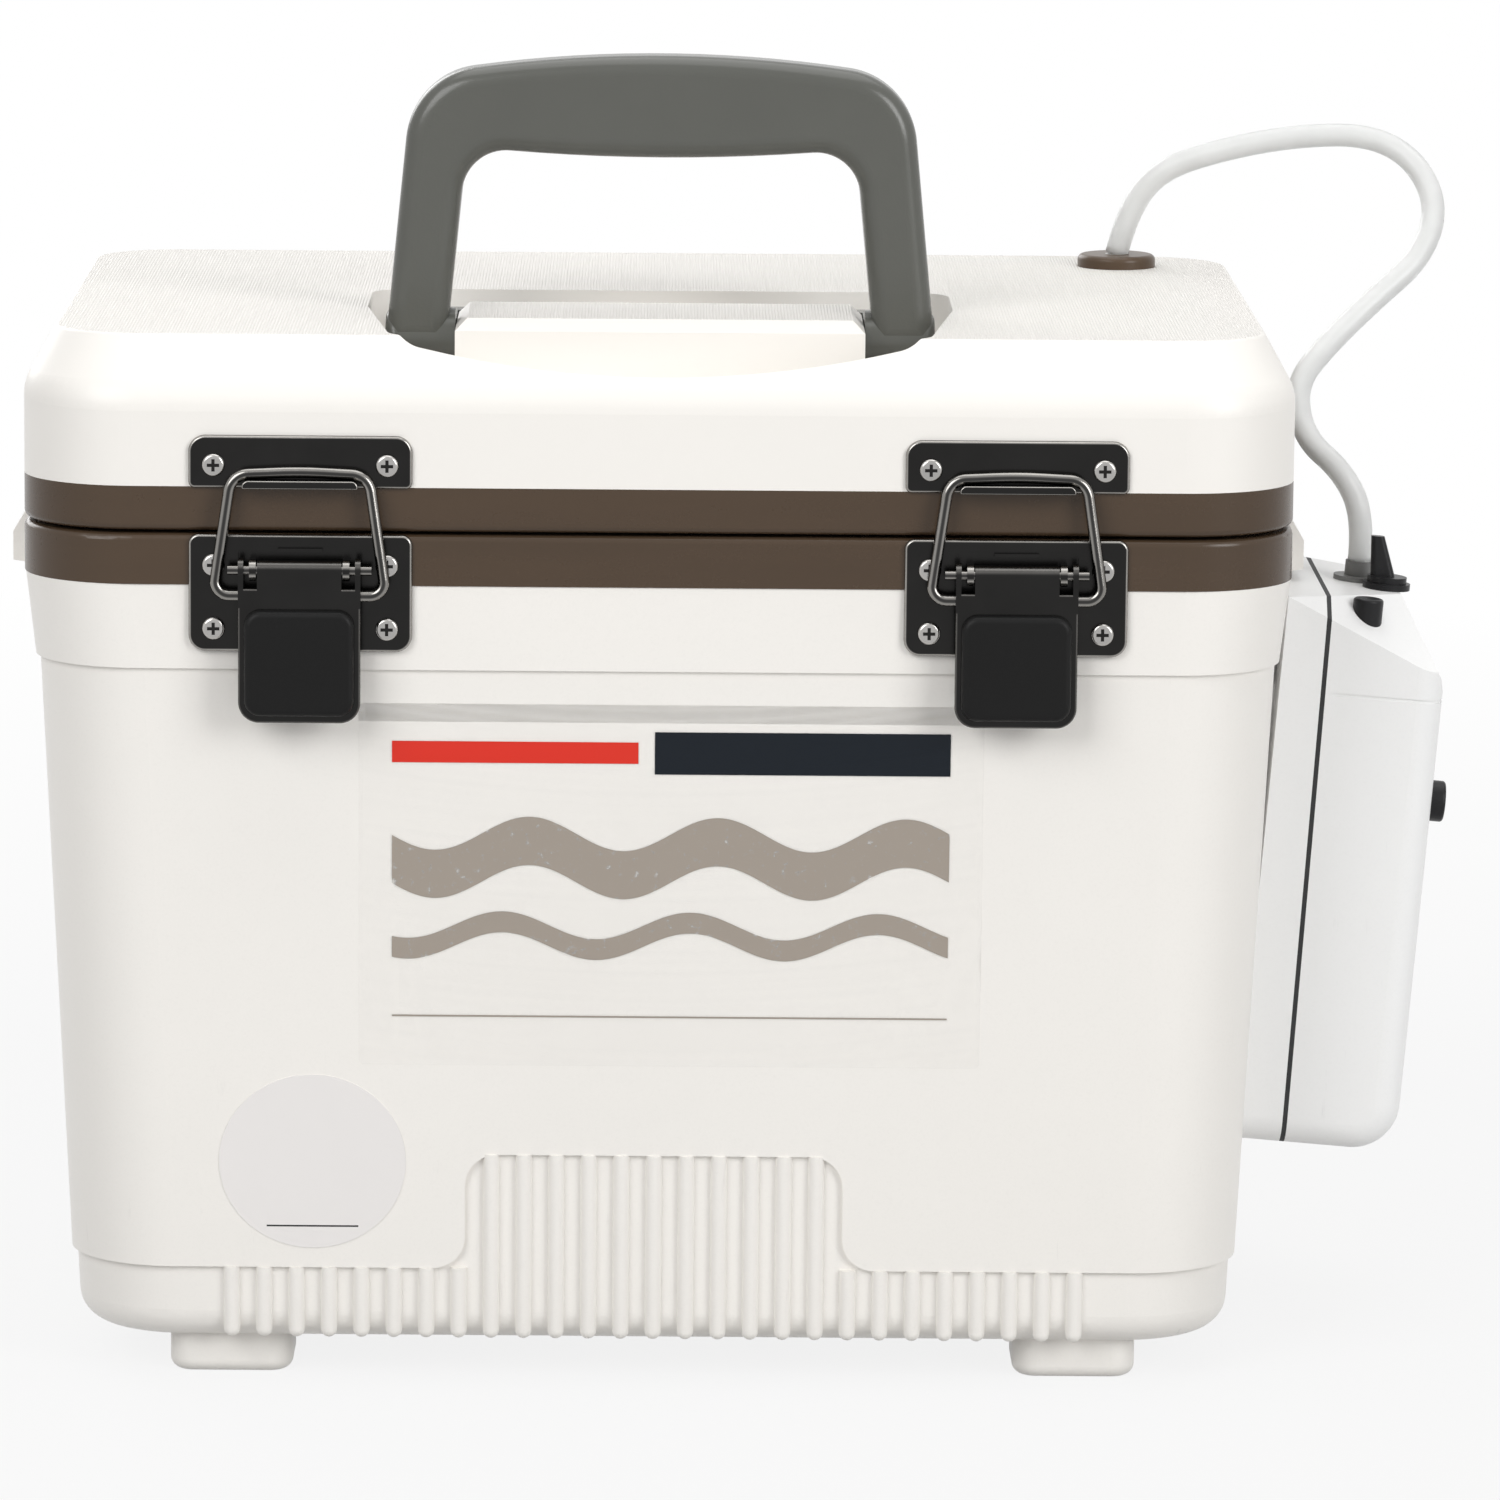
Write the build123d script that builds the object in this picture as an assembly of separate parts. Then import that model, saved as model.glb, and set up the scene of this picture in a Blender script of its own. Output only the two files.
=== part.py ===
from build123d import *
from math import cos, hypot, radians, sin, tan
import os

# An insulated live-bait bucket: double-walled tub, hinged lid with a folding handle, two draw
# latches at the front, two butt hinges at the rear and a battery air pump hung on the right side.
# Millimetres. +X is to the right, +Y to the rear, +Z up.

# ---- Box: overall sizes ------------------------------------------------------------------
box_width = 311.0
box_depth = 216.0
corner_radius = 28.0
foot_height = 10.0
tub_height = 190.2
collar_height = 20.7
rim_height = 12.4
seal_gap = 0.8
lid_rim_height = 10.8
lid_side_height = 22.3
shoulder_height = 13.5
shoulder_run_side = 7.5
shoulder_run_front = 12.0
shoulder_round_share = 0.8
clearance = 0.3
cut_margin = 5.0

tub_bottom = foot_height
tub_top = tub_bottom + tub_height
collar_bottom = tub_top - collar_height
rim_top = tub_top + rim_height
lid_bottom = rim_top + seal_gap
lid_rim_top = lid_bottom + lid_rim_height
lid_side_top = lid_rim_top + lid_side_height
lid_top = lid_side_top + shoulder_height
front_y = -box_depth / 2
rear_y = box_depth / 2

# ---- Tub ---------------------------------------------------------------------------------
tub_draft = 2.55
collar_inset = 0.3
collar_taper_side = 2.4
collar_taper_front = 0.4
collar_step = 1.0
tub_wall = 2.6
base_step_height = 19.0
base_step = 1.3
base_edge_radius = 8.0
foot_width = 30.5
foot_length = 26.0
foot_inset_x = 50.9
foot_inset_y = 30.5
foot_corner_radius = 6.0
foot_edge_radius = 3.0
notch_cut_height = 40.0

rib_count = 27
rib_pitch = 8.0
rib_radius = 2.0
rib_bottom = 1.0
notch_width = 93.0
notch_height = 29.0
notch_radius = 8.0

lug_reach = 8.2
lug_width = 24.0
lug_root = 5.0
lug_height = 15.4
lug_rise = 5.3
lug_slope = 6.0
lug_under_slope = 2.0
lug_chamfer = 3.7
lug_bore = 5.0
lug_bore_shift = 0.4

# ---- Cavity, liner and foam --------------------------------------------------------------
rim_land_side = 23.5
rim_land_front = 20.5
cavity_height = 163.7
cavity_draft = 2.4
cavity_radius = 22.0
liner_wall = 2.2
liner_flange = 5.0
rim_edge_radius = 1.6

cavity_width = box_width - 2 * rim_land_side
cavity_depth = box_depth - 2 * rim_land_front

# ---- Lid ---------------------------------------------------------------------------------
lid_wall = 3.0
lid_top_edge_radius = 1.2
plug_clearance = 4.0
plug_depth = 7.6
lid_liner_lip = 5.0
gasket_width = 4.6
gasket_groove_depth = 2.6
pocket_side_clearance = 4.6
pocket_taper = 7.5
pocket_back_y = 5.0
pocket_bend_y = -35.0
pocket_side_front = 11.0
pocket_front = 4.0
pocket_depth = 17.0
pocket_radius = 10.0
block_width = 101.4
block_length = 42.0
block_bevel = 3.0
block_drop = 0.3

# ---- Handle ------------------------------------------------------------------------------
pivot_y = -38.0
pivot_drop = 8.0
handle_height = 63.7
handle_foot_half = 68.4
handle_top_half = 61.9
handle_arch_rise = 5.8
handle_depth = 16.0
handle_leg_width = 15.2
handle_top_leg_width = 13.6
grip_height = 25.3
grip_sag = 2.4
handle_outer_corner = 19.5
handle_inner_corner = 11.0
handle_edge_radius = 4.5
foot_boss_radius = 8.2
foot_boss_edge = 2.5
handle_pin_cover = 3.0
handle_pin_diameter = 6.0
handle_pin_engagement = 14.0
ear_thickness = 7.0
ear_reach = 26.0
ear_height = 10.0
ear_tip_height = 4.0

# ---- Latches -----------------------------------------------------------------------------
latch_inset = 68.8
plate_thickness = 1.2
plate_radius = 4.0
plate_edge_radius = 0.8
base_plate_width = 54.2
base_plate_height = 28.6
base_plate_bottom = 184.1
base_plate_top_radius = 2.5
recess_width = 30.0
recess_bottom = 193.5
recess_top = 210.0
recess_depth = 0.6
recess_radius = 2.0
plate_ear_radius = 2.6
plate_ear_thickness = 1.6
ear_gap = 0.3
stop_width = 10.8
stop_height = 0.8
stop_reach = 0.6
stop_z = 208.6
keeper_height = 12.8
keeper_bottom = 224.0
keeper_low_radius = 1.5
keeper_lip_width = 28.0
keeper_lip_reach = 4.2
keeper_lip_thickness = 2.0
keeper_lip_top = 226.3
keeper_lip_corner = 1.5
keeper_lip_low_corner = 0.4
keeper_lip_edge = 0.35
lever_width = 29.6
lever_front_reach = 7.4
lever_thickness = 1.4
lever_bottom = 167.5
lever_shoulder = 200.3
lever_corner = 5.0
lever_edge_radius = 0.6
lever_pivot_reach = 5.0
lever_pivot_z = 204.6
lever_barrel_half = 10.2
lever_flange_thickness = 1.3
lever_flange_radius = 3.0
lever_flange_bottom = 195.6
lever_pin_diameter = 2.4
lever_pin_length = 34.8
lever_pad_width = 26.6
lever_pad_top = 195.2
lever_pad_bottom = 169.4
lever_pad_thickness = 2.8
lever_pad_corner = 4.0
lever_pad_edge = 1.6
bail_diameter = 2.8
bail_play = 0.3
bail_pivot_reach = 4.8
bail_pivot_z = 198.4
bail_top_reach = 3.0
bail_corner_z = 227.6
bail_middle_z = 228.4
bail_top_half = 16.6
bail_foot_half = 20.9
bail_foot_radius = 3.4
bail_corner_radius = 5.0
bail_crown_radius = 120.0

latch_spacing = box_width - 2 * latch_inset

# ---- Screws and hinges -------------------------------------------------------------------
screw_head_diameter = 5.6
screw_head_height = 1.5
screw_head_round_share = 0.6
screw_diameter = 2.8
screw_length = 4.0
screw_spacing = 42.0
screw_cross_width = 3.0
screw_cross_slot = 0.8
base_screw_upper_z = 205.3
base_screw_lower_z = 189.8
keeper_screw_z = 229.7
hinge_width = 44.0
hinge_leaf_height = 17.0
hinge_thickness = 1.4
hinge_knuckles = 5
hinge_knuckle_radius = 2.9
hinge_knuckle_gap = 0.3
hinge_rear_gap = 0.1
hinge_leaf_gap = 0.6
hinge_pin_diameter = 2.6
hinge_pin_proud = 0.8
hinge_screw_spacing = 30.0
hinge_screw_offset = 15.6

# ---- Air pump ----------------------------------------------------------------------------
pump_width = 84.0
pump_height = 140.0
pump_lean = 4.6
pump_bottom = 49.0
pump_side_clearance = 0.6
pump_back_thickness = 10.1
pump_seam_thickness = 1.2
pump_seam_tilt = 1.8
pump_front_thickness = 30.3
pump_wall = 2.2
pump_corner_radius = 7.0
pump_bottom_radius = 12.0
pump_deck_end = 19.5
pump_deck_half = 34.0
pump_shoulder_height = 122.0
pump_shoulder_break = 4.0
pump_facet_u = 21.0
pump_facet_y = 18.0
pump_head_room = 20.0
pump_line_drop = 6.0
pump_line_width = 0.8
pump_line_depth = 0.4
bracket_low = 75.0
bracket_high = 165.0
bracket_width = 56.0
bracket_screw_inset = 18.0
bracket_screw_diameter = 4.0
bracket_screw_head = 7.0
bracket_screw_head_height = 1.0
bracket_screw_sunk = 0.5
cell_diameter = 34.2
cell_length = 61.5
cell_nub_diameter = 9.5
cell_nub_height = 1.5
cell_half_gap = 0.4
cell_floor = 7.0
cell_shift = -0.9
contact_strip_width = 8.0
contact_strip_share = 0.8
contact_plate_size = 12.0
contact_plate_thickness = 1.2
chassis_thickness = 2.0
motor_cup_wall = 2.0
motor_cup_height = 8.0
motor_diameter = 24.0
motor_length = 26.0
head_width = 30.0
head_depth = 26.0
head_height = 14.0
head_outlet_diameter = 6.0
deck_hole_depth = 6.4
nozzle_flange_diameter = 12.4
nozzle_diameter = 7.0
nozzle_height = 3.8
nozzle_flange_thickness = 1.2
nozzle_shank = 7.0
nozzle_u = 10.0
switch_u = 16.4
switch_y = -11.0
switch_disc_diameter = 10.0
switch_base_diameter = 12.0
switch_disc_thickness = 1.6
switch_height = 10.0
switch_stem_diameter = 4.8
switch_stem_length = 6.0
paddle_foot_shift = 1.2
paddle_foot_length = 6.2
paddle_foot_width = 3.4
paddle_foot_radius = 1.5
paddle_tip_shift = 3.4
paddle_tip_length = 3.4
paddle_tip_width = 2.6
paddle_tip_radius = 1.2
plug_u = 10.2
plug_y = -33.0
plug_diameter = 7.6
plug_length = 14.0
plug_rise = 0.2
plug_edge_radius = 0.8
button_height = 89.3
button_y = -27.5
button_diameter = 10.4
button_proud = 4.0
button_depth = 5.0
button_play = 0.3
button_edge_radius = 0.8

# ---- Air line ----------------------------------------------------------------------------
tube_diameter = 6.0
tube_first_run = 11.2
tube_arc_share = 0.45
tube_overlap = 1.5
grommet_inset_x = 36.0
grommet_inset_y = 36.5
grommet_diameter = 20.3
grommet_height = 3.3
grommet_lip = 3.5
grommet_round_share = 0.45
tube_passage_diameter = 10.0
stone_diameter = 12.0
stone_length = 24.0
stone_edge_radius = 1.5
stone_inset_x = 36.0
stone_inset_y = 39.5
stone_rise = 9.5
inner_tube_first_run = 60.0
inner_tube_middle_rise = 68.0
inner_tube_last_run = 34.0

grommet_x = box_width / 2 - grommet_inset_x
grommet_y = box_depth / 2 - grommet_inset_y
stone_x = cavity_width / 2 - stone_inset_x
stone_y = cavity_depth / 2 - stone_inset_y
stone_bottom = tub_top - cavity_height + stone_rise

# ---- Labels ------------------------------------------------------------------------------
label_thickness = 0.2
label_width = 152.3
label_height = 90.5
label_corner = 1.5
label_x = 3.5
label_z = 125.9
sticker_width = 46.0
sticker_height = 44.0
sticker_x = -84.0
sticker_z = 56.0

pieces = {}


# ---- Shared shapes -----------------------------------------------------------------------
def rounded_prism(width, depth, radius, bottom, top):
    return Pos(0, 0, bottom) * extrude(RectangleRounded(width, depth, radius), top - bottom)


def drafted_prism(lower, upper, radius, bottom, top, top_radius=None):
    """A block with sloping walls between two rounded rectangles, each given as (width, depth)."""
    sections = [
        Pos(0, 0, bottom) * RectangleRounded(*lower, radius),
        Pos(0, 0, top) * RectangleRounded(*upper, top_radius or radius),
    ]
    return loft(sections, ruled=True)


def rod(start, end, diameter):
    """A straight round bar from one point to another."""
    axis = Vector(end) - Vector(start)
    return extrude(Plane(Vector(start), z_dir=axis) * Circle(diameter / 2), axis.length)


def box_between(low, high):
    """A box from its lowest to its highest corner."""
    size = [b - a for a, b in zip(low, high)]
    return Pos(*[(a + b) / 2 for a, b in zip(low, high)]) * Box(*size)


def edges_at(shape, height, axis=Axis.Z):
    """The edges that lie in the plane at this height along an axis."""
    return shape.edges().filter_by_position(axis, height - 1e-4, height + 1e-4)


def profile(points, depth):
    """A prism from a closed outline of (x, z) points, as deep as given, centred on Y = 0."""
    face = make_face(Polyline(*points, close=True))
    return extrude(Plane.XZ * face, depth / 2, both=True)


def hose(points, diameter):
    """A round hose along straight runs joined by arcs as large as the runs allow, and its radii."""
    radii = []
    for before, here, after in zip(points, points[1:], points[2:]):
        inward, onward = Vector(here) - Vector(before), Vector(after) - Vector(here)
        half_turn = radians(inward.get_angle(onward)) / 2
        radii.append(tube_arc_share * min(inward.length, onward.length) / tan(half_turn))
    path = FilletPolyline(*points, radius=radii)
    section = Plane(path @ 0, z_dir=path % 0) * Circle(diameter / 2)
    return sweep(section, path=path), radii, path.length


# ---- Tub ---------------------------------------------------------------------------------
def tub_size(z, inset=0.0):
    """Width and depth of the drafted tub wall at a height, less an inset on every side."""
    slope = (collar_bottom - z) * tan(radians(tub_draft))
    width = box_width / 2 - collar_inset - collar_taper_side - collar_step - slope - inset
    depth = box_depth / 2 - collar_inset - collar_taper_front - collar_step - slope - inset
    return 2 * width, 2 * depth


def front_plane(x, z, sunk=0.0):
    """A plane on the tub's drafted front face, facing out, with its origin at x and height z."""
    tilt = radians(tub_draft)
    normal = Vector(0, -cos(tilt), -sin(tilt))
    return Plane(Vector(x, -tub_size(z)[1] / 2, z) - normal * sunk, x_dir=(1, 0, 0), z_dir=normal)


def tub_void():
    """The space inside the tub's outer shell."""
    inset = base_step + tub_wall
    bottom = tub_bottom + tub_wall
    radius = corner_radius - inset - collar_step
    return drafted_prism(tub_size(bottom, inset), tub_size(tub_top, inset), radius, bottom, tub_top)


def strap_lug(side):
    """A moulded lug beside the collar, with an upright bore for a strap clip."""
    wall = box_width / 2
    top = tub_top + lug_rise
    outline = [
        (wall - lug_root, top - lug_height),
        (wall + lug_reach, top - lug_height + lug_under_slope),
        (wall + lug_reach, top - lug_slope),
        (wall + lug_reach - lug_chamfer, top),
        (wall + clearance, top),
        (wall + clearance, tub_top),
        (wall - lug_root, tub_top),
    ]
    lug = profile(outline, lug_width)
    bore_x = wall + lug_reach / 2 + lug_bore_shift
    lug -= Pos(bore_x, 0, top) * Cylinder(lug_bore / 2, 3 * lug_height)
    return lug if side > 0 else mirror(lug, Plane.YZ)


def notch_cutter():
    """The stepped recess round the base of the front, raised in the middle, ahead of the tub."""
    step = tub_bottom + base_step_height
    low = Pos(0, step - notch_cut_height / 2) * Rectangle(2 * box_width, notch_cut_height)
    high = Pos(0, step) * Rectangle(notch_width, 2 * notch_height)
    shape = low + high
    corners = [v for v in shape.vertices() if abs(v.X) < notch_width and v.Y > step - 1]
    shape = fillet(corners, notch_radius)
    face = front_plane(0, 0, base_step)
    return extrude(face * shape, 2 * base_step)


def ribs():
    """Half-round upright ribs in the recess of the front face, longer under the raised middle."""
    step = base_step_height + tub_bottom
    low = tub_bottom + rib_bottom + rib_radius
    bars = []
    for number in range(rib_count):
        x = (number - (rib_count - 1) / 2) * rib_pitch
        middle = abs(x) < notch_width / 2 - rib_radius
        top = step + notch_height if middle else step
        face = front_plane(0, 0, base_step)
        start, end = face.from_local_coords((x, low, 0)), face.from_local_coords((x, top, 0))
        bars.append(rod(start, end, 2 * rib_radius) + Pos(*start) * Sphere(rib_radius))
        root = Pos(x, (low + step) / 2, -base_edge_radius / 2)
        bars.append(Location(face) * root * Box(2 * rib_radius, step - low, base_edge_radius))
    return bars


def make_tub_feet():
    """Four feet under the corners of the tub."""
    foot = rounded_prism(foot_width, foot_length, foot_corner_radius, 0, tub_bottom)
    foot = fillet(edges_at(foot, 0), foot_edge_radius)
    places = GridLocations(box_width - 2 * foot_inset_x, box_depth - 2 * foot_inset_y, 2, 2)
    return Compound([place * foot for place in places])


def tub_outside():
    """The tub's outer form: a stepped base, drafted walls and a collar, ribbed at the front."""
    step = tub_bottom + base_step_height
    under_collar = tub_size(collar_bottom)
    collar_low = [size + 2 * collar_step for size in under_collar]
    collar_high = box_width - 2 * collar_inset, box_depth - 2 * collar_inset
    radius = corner_radius - collar_step
    base = drafted_prism(tub_size(tub_bottom, base_step), tub_size(step, base_step), radius,
                         tub_bottom, step)
    base = fillet(edges_at(base, tub_bottom), base_edge_radius)
    form = base + drafted_prism(tub_size(step), under_collar, radius, step, collar_bottom)
    form += drafted_prism(collar_low, collar_high, radius, collar_bottom, tub_top)
    form -= notch_cutter()
    form += ribs()
    return form + [strap_lug(-1), strap_lug(1)]


def make_tub_walls():
    """The base pan up to its step, and the shell that is welded on above it."""
    skin = tub_outside() - tub_void()
    step = tub_bottom + base_step_height
    low = box_between((-box_width, -box_depth, 0), (box_width, box_depth, step))
    return skin & low, skin - low - tub_screw_shanks() - bracket_screws()


def cavity(grow=0.0):
    """The space that holds the water, grown outward on every side but the top."""
    slope = 2 * cavity_height * tan(radians(cavity_draft))
    upper = cavity_width + 2 * grow, cavity_depth + 2 * grow
    lower = upper[0] - slope, upper[1] - slope
    bottom = tub_top - cavity_height - grow
    shape = drafted_prism(lower, upper, cavity_radius, bottom, tub_top)
    return fillet(edges_at(shape, bottom), cavity_radius / 2)


def flange(grow=0.0):
    """The liner's turned-out top edge."""
    width = cavity_width + 2 * (liner_wall + liner_flange + grow)
    depth = cavity_depth + 2 * (liner_wall + liner_flange + grow)
    radius = cavity_radius + liner_flange
    return rounded_prism(width, depth, radius, tub_top - liner_wall - grow, tub_top)


def make_tub_liner():
    return cavity(liner_wall) + flange() - cavity()


def make_tub_foam():
    return tub_void() - cavity(liner_wall) - flange()


def make_tub_rim():
    ring = rounded_prism(box_width, box_depth, corner_radius, tub_top, rim_top)
    ring = fillet(edges_at(ring, rim_top), rim_edge_radius)
    ring -= rounded_prism(cavity_width, cavity_depth, cavity_radius, tub_top, rim_top)
    return ring - tub_screw_shanks()


# ---- Screws ------------------------------------------------------------------------------
def base_screws_at(z):
    """Where the latch base plates are screwed on, at one height."""
    return [(side * latch_spacing / 2 + x * screw_spacing / 2, z) for side in (-1, 1) for x in (-1, 1)]


def screw_shanks(places, face_y, inward):
    """The screws' shanks at (x, z) places, from outside a plate to their ends in the wall."""
    start = face_y - inward * 2 * plate_thickness
    end = face_y + inward * screw_length
    return [rod((x, start, z), (x, end, z), screw_diameter) for x, z in places]


def tub_screw_shanks():
    """Every screw that goes into the tub's collar or rim band."""
    places = base_screws_at(base_screw_upper_z) + base_screws_at(base_screw_lower_z)
    return screw_shanks(places, front_y, 1) + screw_shanks(hinge_screws_at(-1), rear_y, -1)


def lid_screw_shanks():
    """Every screw that goes into the lid."""
    rear = screw_shanks(hinge_screws_at(1), rear_y, -1)
    return screw_shanks(keeper_screws_at(), front_y, 1) + rear


def make_screws(places, face_y, inward, thickness):
    """Pan-head cross-recessed screws whose heads sit on a plate on a face."""
    screws = []
    for x, z in places:
        seat = face_y - inward * thickness
        head = extrude(Circle(screw_head_diameter / 2), screw_head_height)
        head = fillet(edges_at(head, screw_head_height), screw_head_height * screw_head_round_share)
        cross = Box(screw_cross_width, screw_cross_slot, screw_head_height)
        cross += Box(screw_cross_slot, screw_cross_width, screw_head_height)
        head -= Pos(0, 0, screw_head_height) * cross
        head += Pos(0, 0, -(screw_length + thickness) / 2) * Cylinder(
            screw_diameter / 2, screw_length + thickness)
        screws.append(Location(Plane((x, seat, z), x_dir=(1, 0, 0), z_dir=(0, -inward, 0))) * head)
    return Compound(screws)


# ---- Lid ---------------------------------------------------------------------------------
def lid_block(inset, drop, base):
    """The lid's outer form from a base height: upright sides and a sloping shoulder."""
    side = box_width - 2 * inset, box_depth - 2 * inset
    crown = side[0] - 2 * shoulder_run_side, side[1] - 2 * shoulder_run_front
    radius = corner_radius - inset
    block = rounded_prism(*side, radius, base, lid_side_top)
    return block + drafted_prism(side, crown, radius, lid_side_top, lid_top - drop,
                                 radius - shoulder_run_side)


def pocket_outline():
    """The plan of the recess that the handle folds into; its front bows out over the shoulder."""
    half = handle_foot_half + pocket_side_clearance
    right = [
        (half - pocket_taper, front_y + pocket_side_front),
        (half, pocket_bend_y),
        (half, pocket_back_y),
    ]
    left = [(-x, y) for x, y in reversed(right)]
    front = ThreePointArc(left[-1], (0, front_y + pocket_front), right[0])
    face = make_face(Polyline(*right, *left) + front)
    return fillet(face.vertices(), pocket_radius)


def make_lid_shell():
    outer = lid_block(0, 0, lid_rim_top)
    outer = fillet(edges_at(outer, lid_side_top), shoulder_height * shoulder_round_share)
    outer = fillet(edges_at(outer, lid_top), lid_top_edge_radius)
    floor = lid_top - pocket_depth
    plan = pocket_outline()
    recess = Pos(0, 0, floor) * extrude(plan, pocket_depth + 1)
    tray = Pos(0, 0, floor - lid_wall) * extrude(offset(plan, lid_wall), pocket_depth + lid_wall)
    shell = outer - lid_block(lid_wall, lid_wall, lid_rim_top) + (tray & outer) - recess
    block = box_between((-block_width / 2, pivot_y - block_length / 2, floor),
                        (block_width / 2, pivot_y + block_length / 2, lid_top - block_drop))
    block = chamfer(edges_at(block, lid_top - block_drop), block_bevel)
    shell += block
    for side in (-1, 1):
        shell -= handle_pin(side)
    shell -= Pos(grommet_x, grommet_y, lid_top) * Cylinder(grommet_neck() / 2, 4 * lid_wall)
    return shell - lid_screw_shanks()


def keeper_screws_at():
    return [(x, keeper_screw_z) for x, z in base_screws_at(0)]


def rim_opening():
    """Width and depth of the opening in the lid's rim band."""
    return plug_size(-clearance)


def seal_ring(width, bottom, top):
    """A flat ring that follows the rim, in the middle of the front's rim band."""
    outer = (rim_land_front - width) / 2
    inner = (rim_land_front + width) / 2
    ring = rounded_prism(box_width - 2 * outer, box_depth - 2 * outer, corner_radius - outer,
                         bottom, top)
    return ring - rounded_prism(box_width - 2 * inner, box_depth - 2 * inner,
                                corner_radius - inner, bottom, top)


def make_lid_rim():
    ring = rounded_prism(box_width, box_depth, corner_radius, lid_bottom, lid_rim_top)
    ring = fillet(edges_at(ring, lid_bottom), rim_edge_radius)
    ring -= rounded_prism(*rim_opening(), cavity_radius - plug_clearance, lid_bottom, lid_rim_top)
    ring -= lid_screw_shanks()
    return ring - seal_ring(gasket_width, lid_bottom, lid_bottom + gasket_groove_depth)


def make_lid_gasket():
    return seal_ring(gasket_width, rim_top, lid_bottom + gasket_groove_depth)


def plug_size(inset=0.0):
    """Width and depth of the part of the lid liner that enters the tub's mouth."""
    gap = 2 * (plug_clearance + inset)
    return cavity_width - gap, cavity_depth - gap


def lid_liner_edge():
    """The lid liner's turned-out edge, which rests on the lid's rim band."""
    width, depth = plug_size(-lid_liner_lip)
    return rounded_prism(width, depth, cavity_radius, lid_rim_top, lid_rim_top + liner_wall)


def make_lid_liner():
    bottom = rim_top - plug_depth
    tray = rounded_prism(*plug_size(), cavity_radius - plug_clearance, bottom, lid_rim_top)
    tray = fillet(edges_at(tray, bottom), liner_wall)
    tray += lid_liner_edge()
    tray -= rounded_prism(*plug_size(liner_wall), cavity_radius - plug_clearance - liner_wall,
                          bottom + liner_wall, lid_rim_top + liner_wall)
    return tray - tube_hole(tube_passage_diameter)


def make_lid_foam():
    fill = lid_block(lid_wall, lid_wall, lid_rim_top)
    floor = lid_top - pocket_depth
    tray = Pos(0, 0, floor - lid_wall) * extrude(offset(pocket_outline(), lid_wall),
                                                 pocket_depth + lid_wall)
    fill -= tray + lid_liner_edge()
    fill += rounded_prism(*plug_size(liner_wall), cavity_radius - plug_clearance - liner_wall,
                          rim_top - plug_depth + liner_wall, lid_rim_top + liner_wall)
    fill -= Pos(grommet_x, grommet_y, lid_top) * Cylinder(grommet_neck() / 2, 6 * lid_wall)
    return fill - lid_screw_shanks() - tube_hole(tube_passage_diameter)


# ---- Handle ------------------------------------------------------------------------------
def pivot_z():
    return lid_top - pivot_drop


def arch(foot_half, top_half, side_z, middle_z, corner):
    """An arched outline in (x, z) that stands on the handle's pivot height."""
    legs = Polyline((top_half, side_z), (foot_half, pivot_z()), (-foot_half, pivot_z()),
                    (-top_half, side_z))
    crown = ThreePointArc((-top_half, side_z), (0, middle_z), (top_half, side_z))
    face = make_face(legs + crown)
    return fillet(face.vertices().group_by(Axis.Y)[-1], corner)


def handle_pin(side):
    """A steel pin from inside the block to inside the handle's foot."""
    inner = block_width / 2 - handle_pin_engagement
    outer = handle_foot_half - handle_pin_cover
    return rod((side * inner, pivot_y, pivot_z()), (side * outer, pivot_y, pivot_z()),
               handle_pin_diameter)


def make_handle():
    top = lid_top + handle_height
    outer = arch(handle_foot_half, handle_top_half, top - handle_arch_rise, top,
                 handle_outer_corner)
    inner_top = top - grip_height
    inner = arch(handle_foot_half - handle_leg_width, handle_top_half - handle_top_leg_width,
                 inner_top + grip_sag, inner_top, handle_inner_corner)
    bow = extrude(Plane.XZ.offset(-pivot_y) * (outer - inner), handle_depth / 2, both=True)
    front = edges_at(bow, pivot_y - handle_depth / 2, Axis.Y)
    rear = edges_at(bow, pivot_y + handle_depth / 2, Axis.Y)
    bow = fillet(front + rear, handle_edge_radius)
    inside = block_width / 2 + clearance
    for side in (-1, 1):
        hub = rod((side * inside, pivot_y, pivot_z()), (side * handle_foot_half, pivot_y, pivot_z()),
                  2 * foot_boss_radius)
        hub = fillet(edges_at(hub, side * handle_foot_half, Axis.X), foot_boss_edge)
        bow += hub + stop_ear(side)
        bore_end = handle_foot_half - handle_pin_cover + clearance
        bow -= rod((side * block_width / 2, pivot_y, pivot_z()),
                   (side * bore_end, pivot_y, pivot_z()), handle_pin_diameter + 2 * clearance)
    return bow


def stop_ear(side):
    """The stop behind the block that keeps the raised handle upright."""
    rear_of_block = hypot(block_length / 2, pivot_drop - block_drop)
    near = pivot_y + rear_of_block + 2 * clearance
    inside = block_width / 2 + clearance
    low = pivot_z() - ear_height / 2
    outside = inside + ear_thickness
    arm = box_between((inside, pivot_y, low), (outside, near + ear_thickness, low + ear_height))
    wedge = make_face(Polyline(
        (outside, low), (outside, low + ear_height), (inside - ear_reach / 2, low + ear_height),
        (inside - ear_reach, low + ear_tip_height), (inside - ear_reach, low), close=True))
    wedge = extrude(Plane.XZ.offset(-near) * wedge, -ear_thickness)
    ear = arm + wedge
    return ear if side > 0 else mirror(ear, Plane.YZ)


# ---- Latches, drawn at x = 0 with their reach measured out from the front face -----------
def at_front(x, reach, z):
    return (x, front_y - reach, z)


def front_face(z):
    """A plane on the front face at a height, facing out."""
    return Plane(at_front(0, 0, z), x_dir=(1, 0, 0), z_dir=(0, -1, 0))


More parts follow.
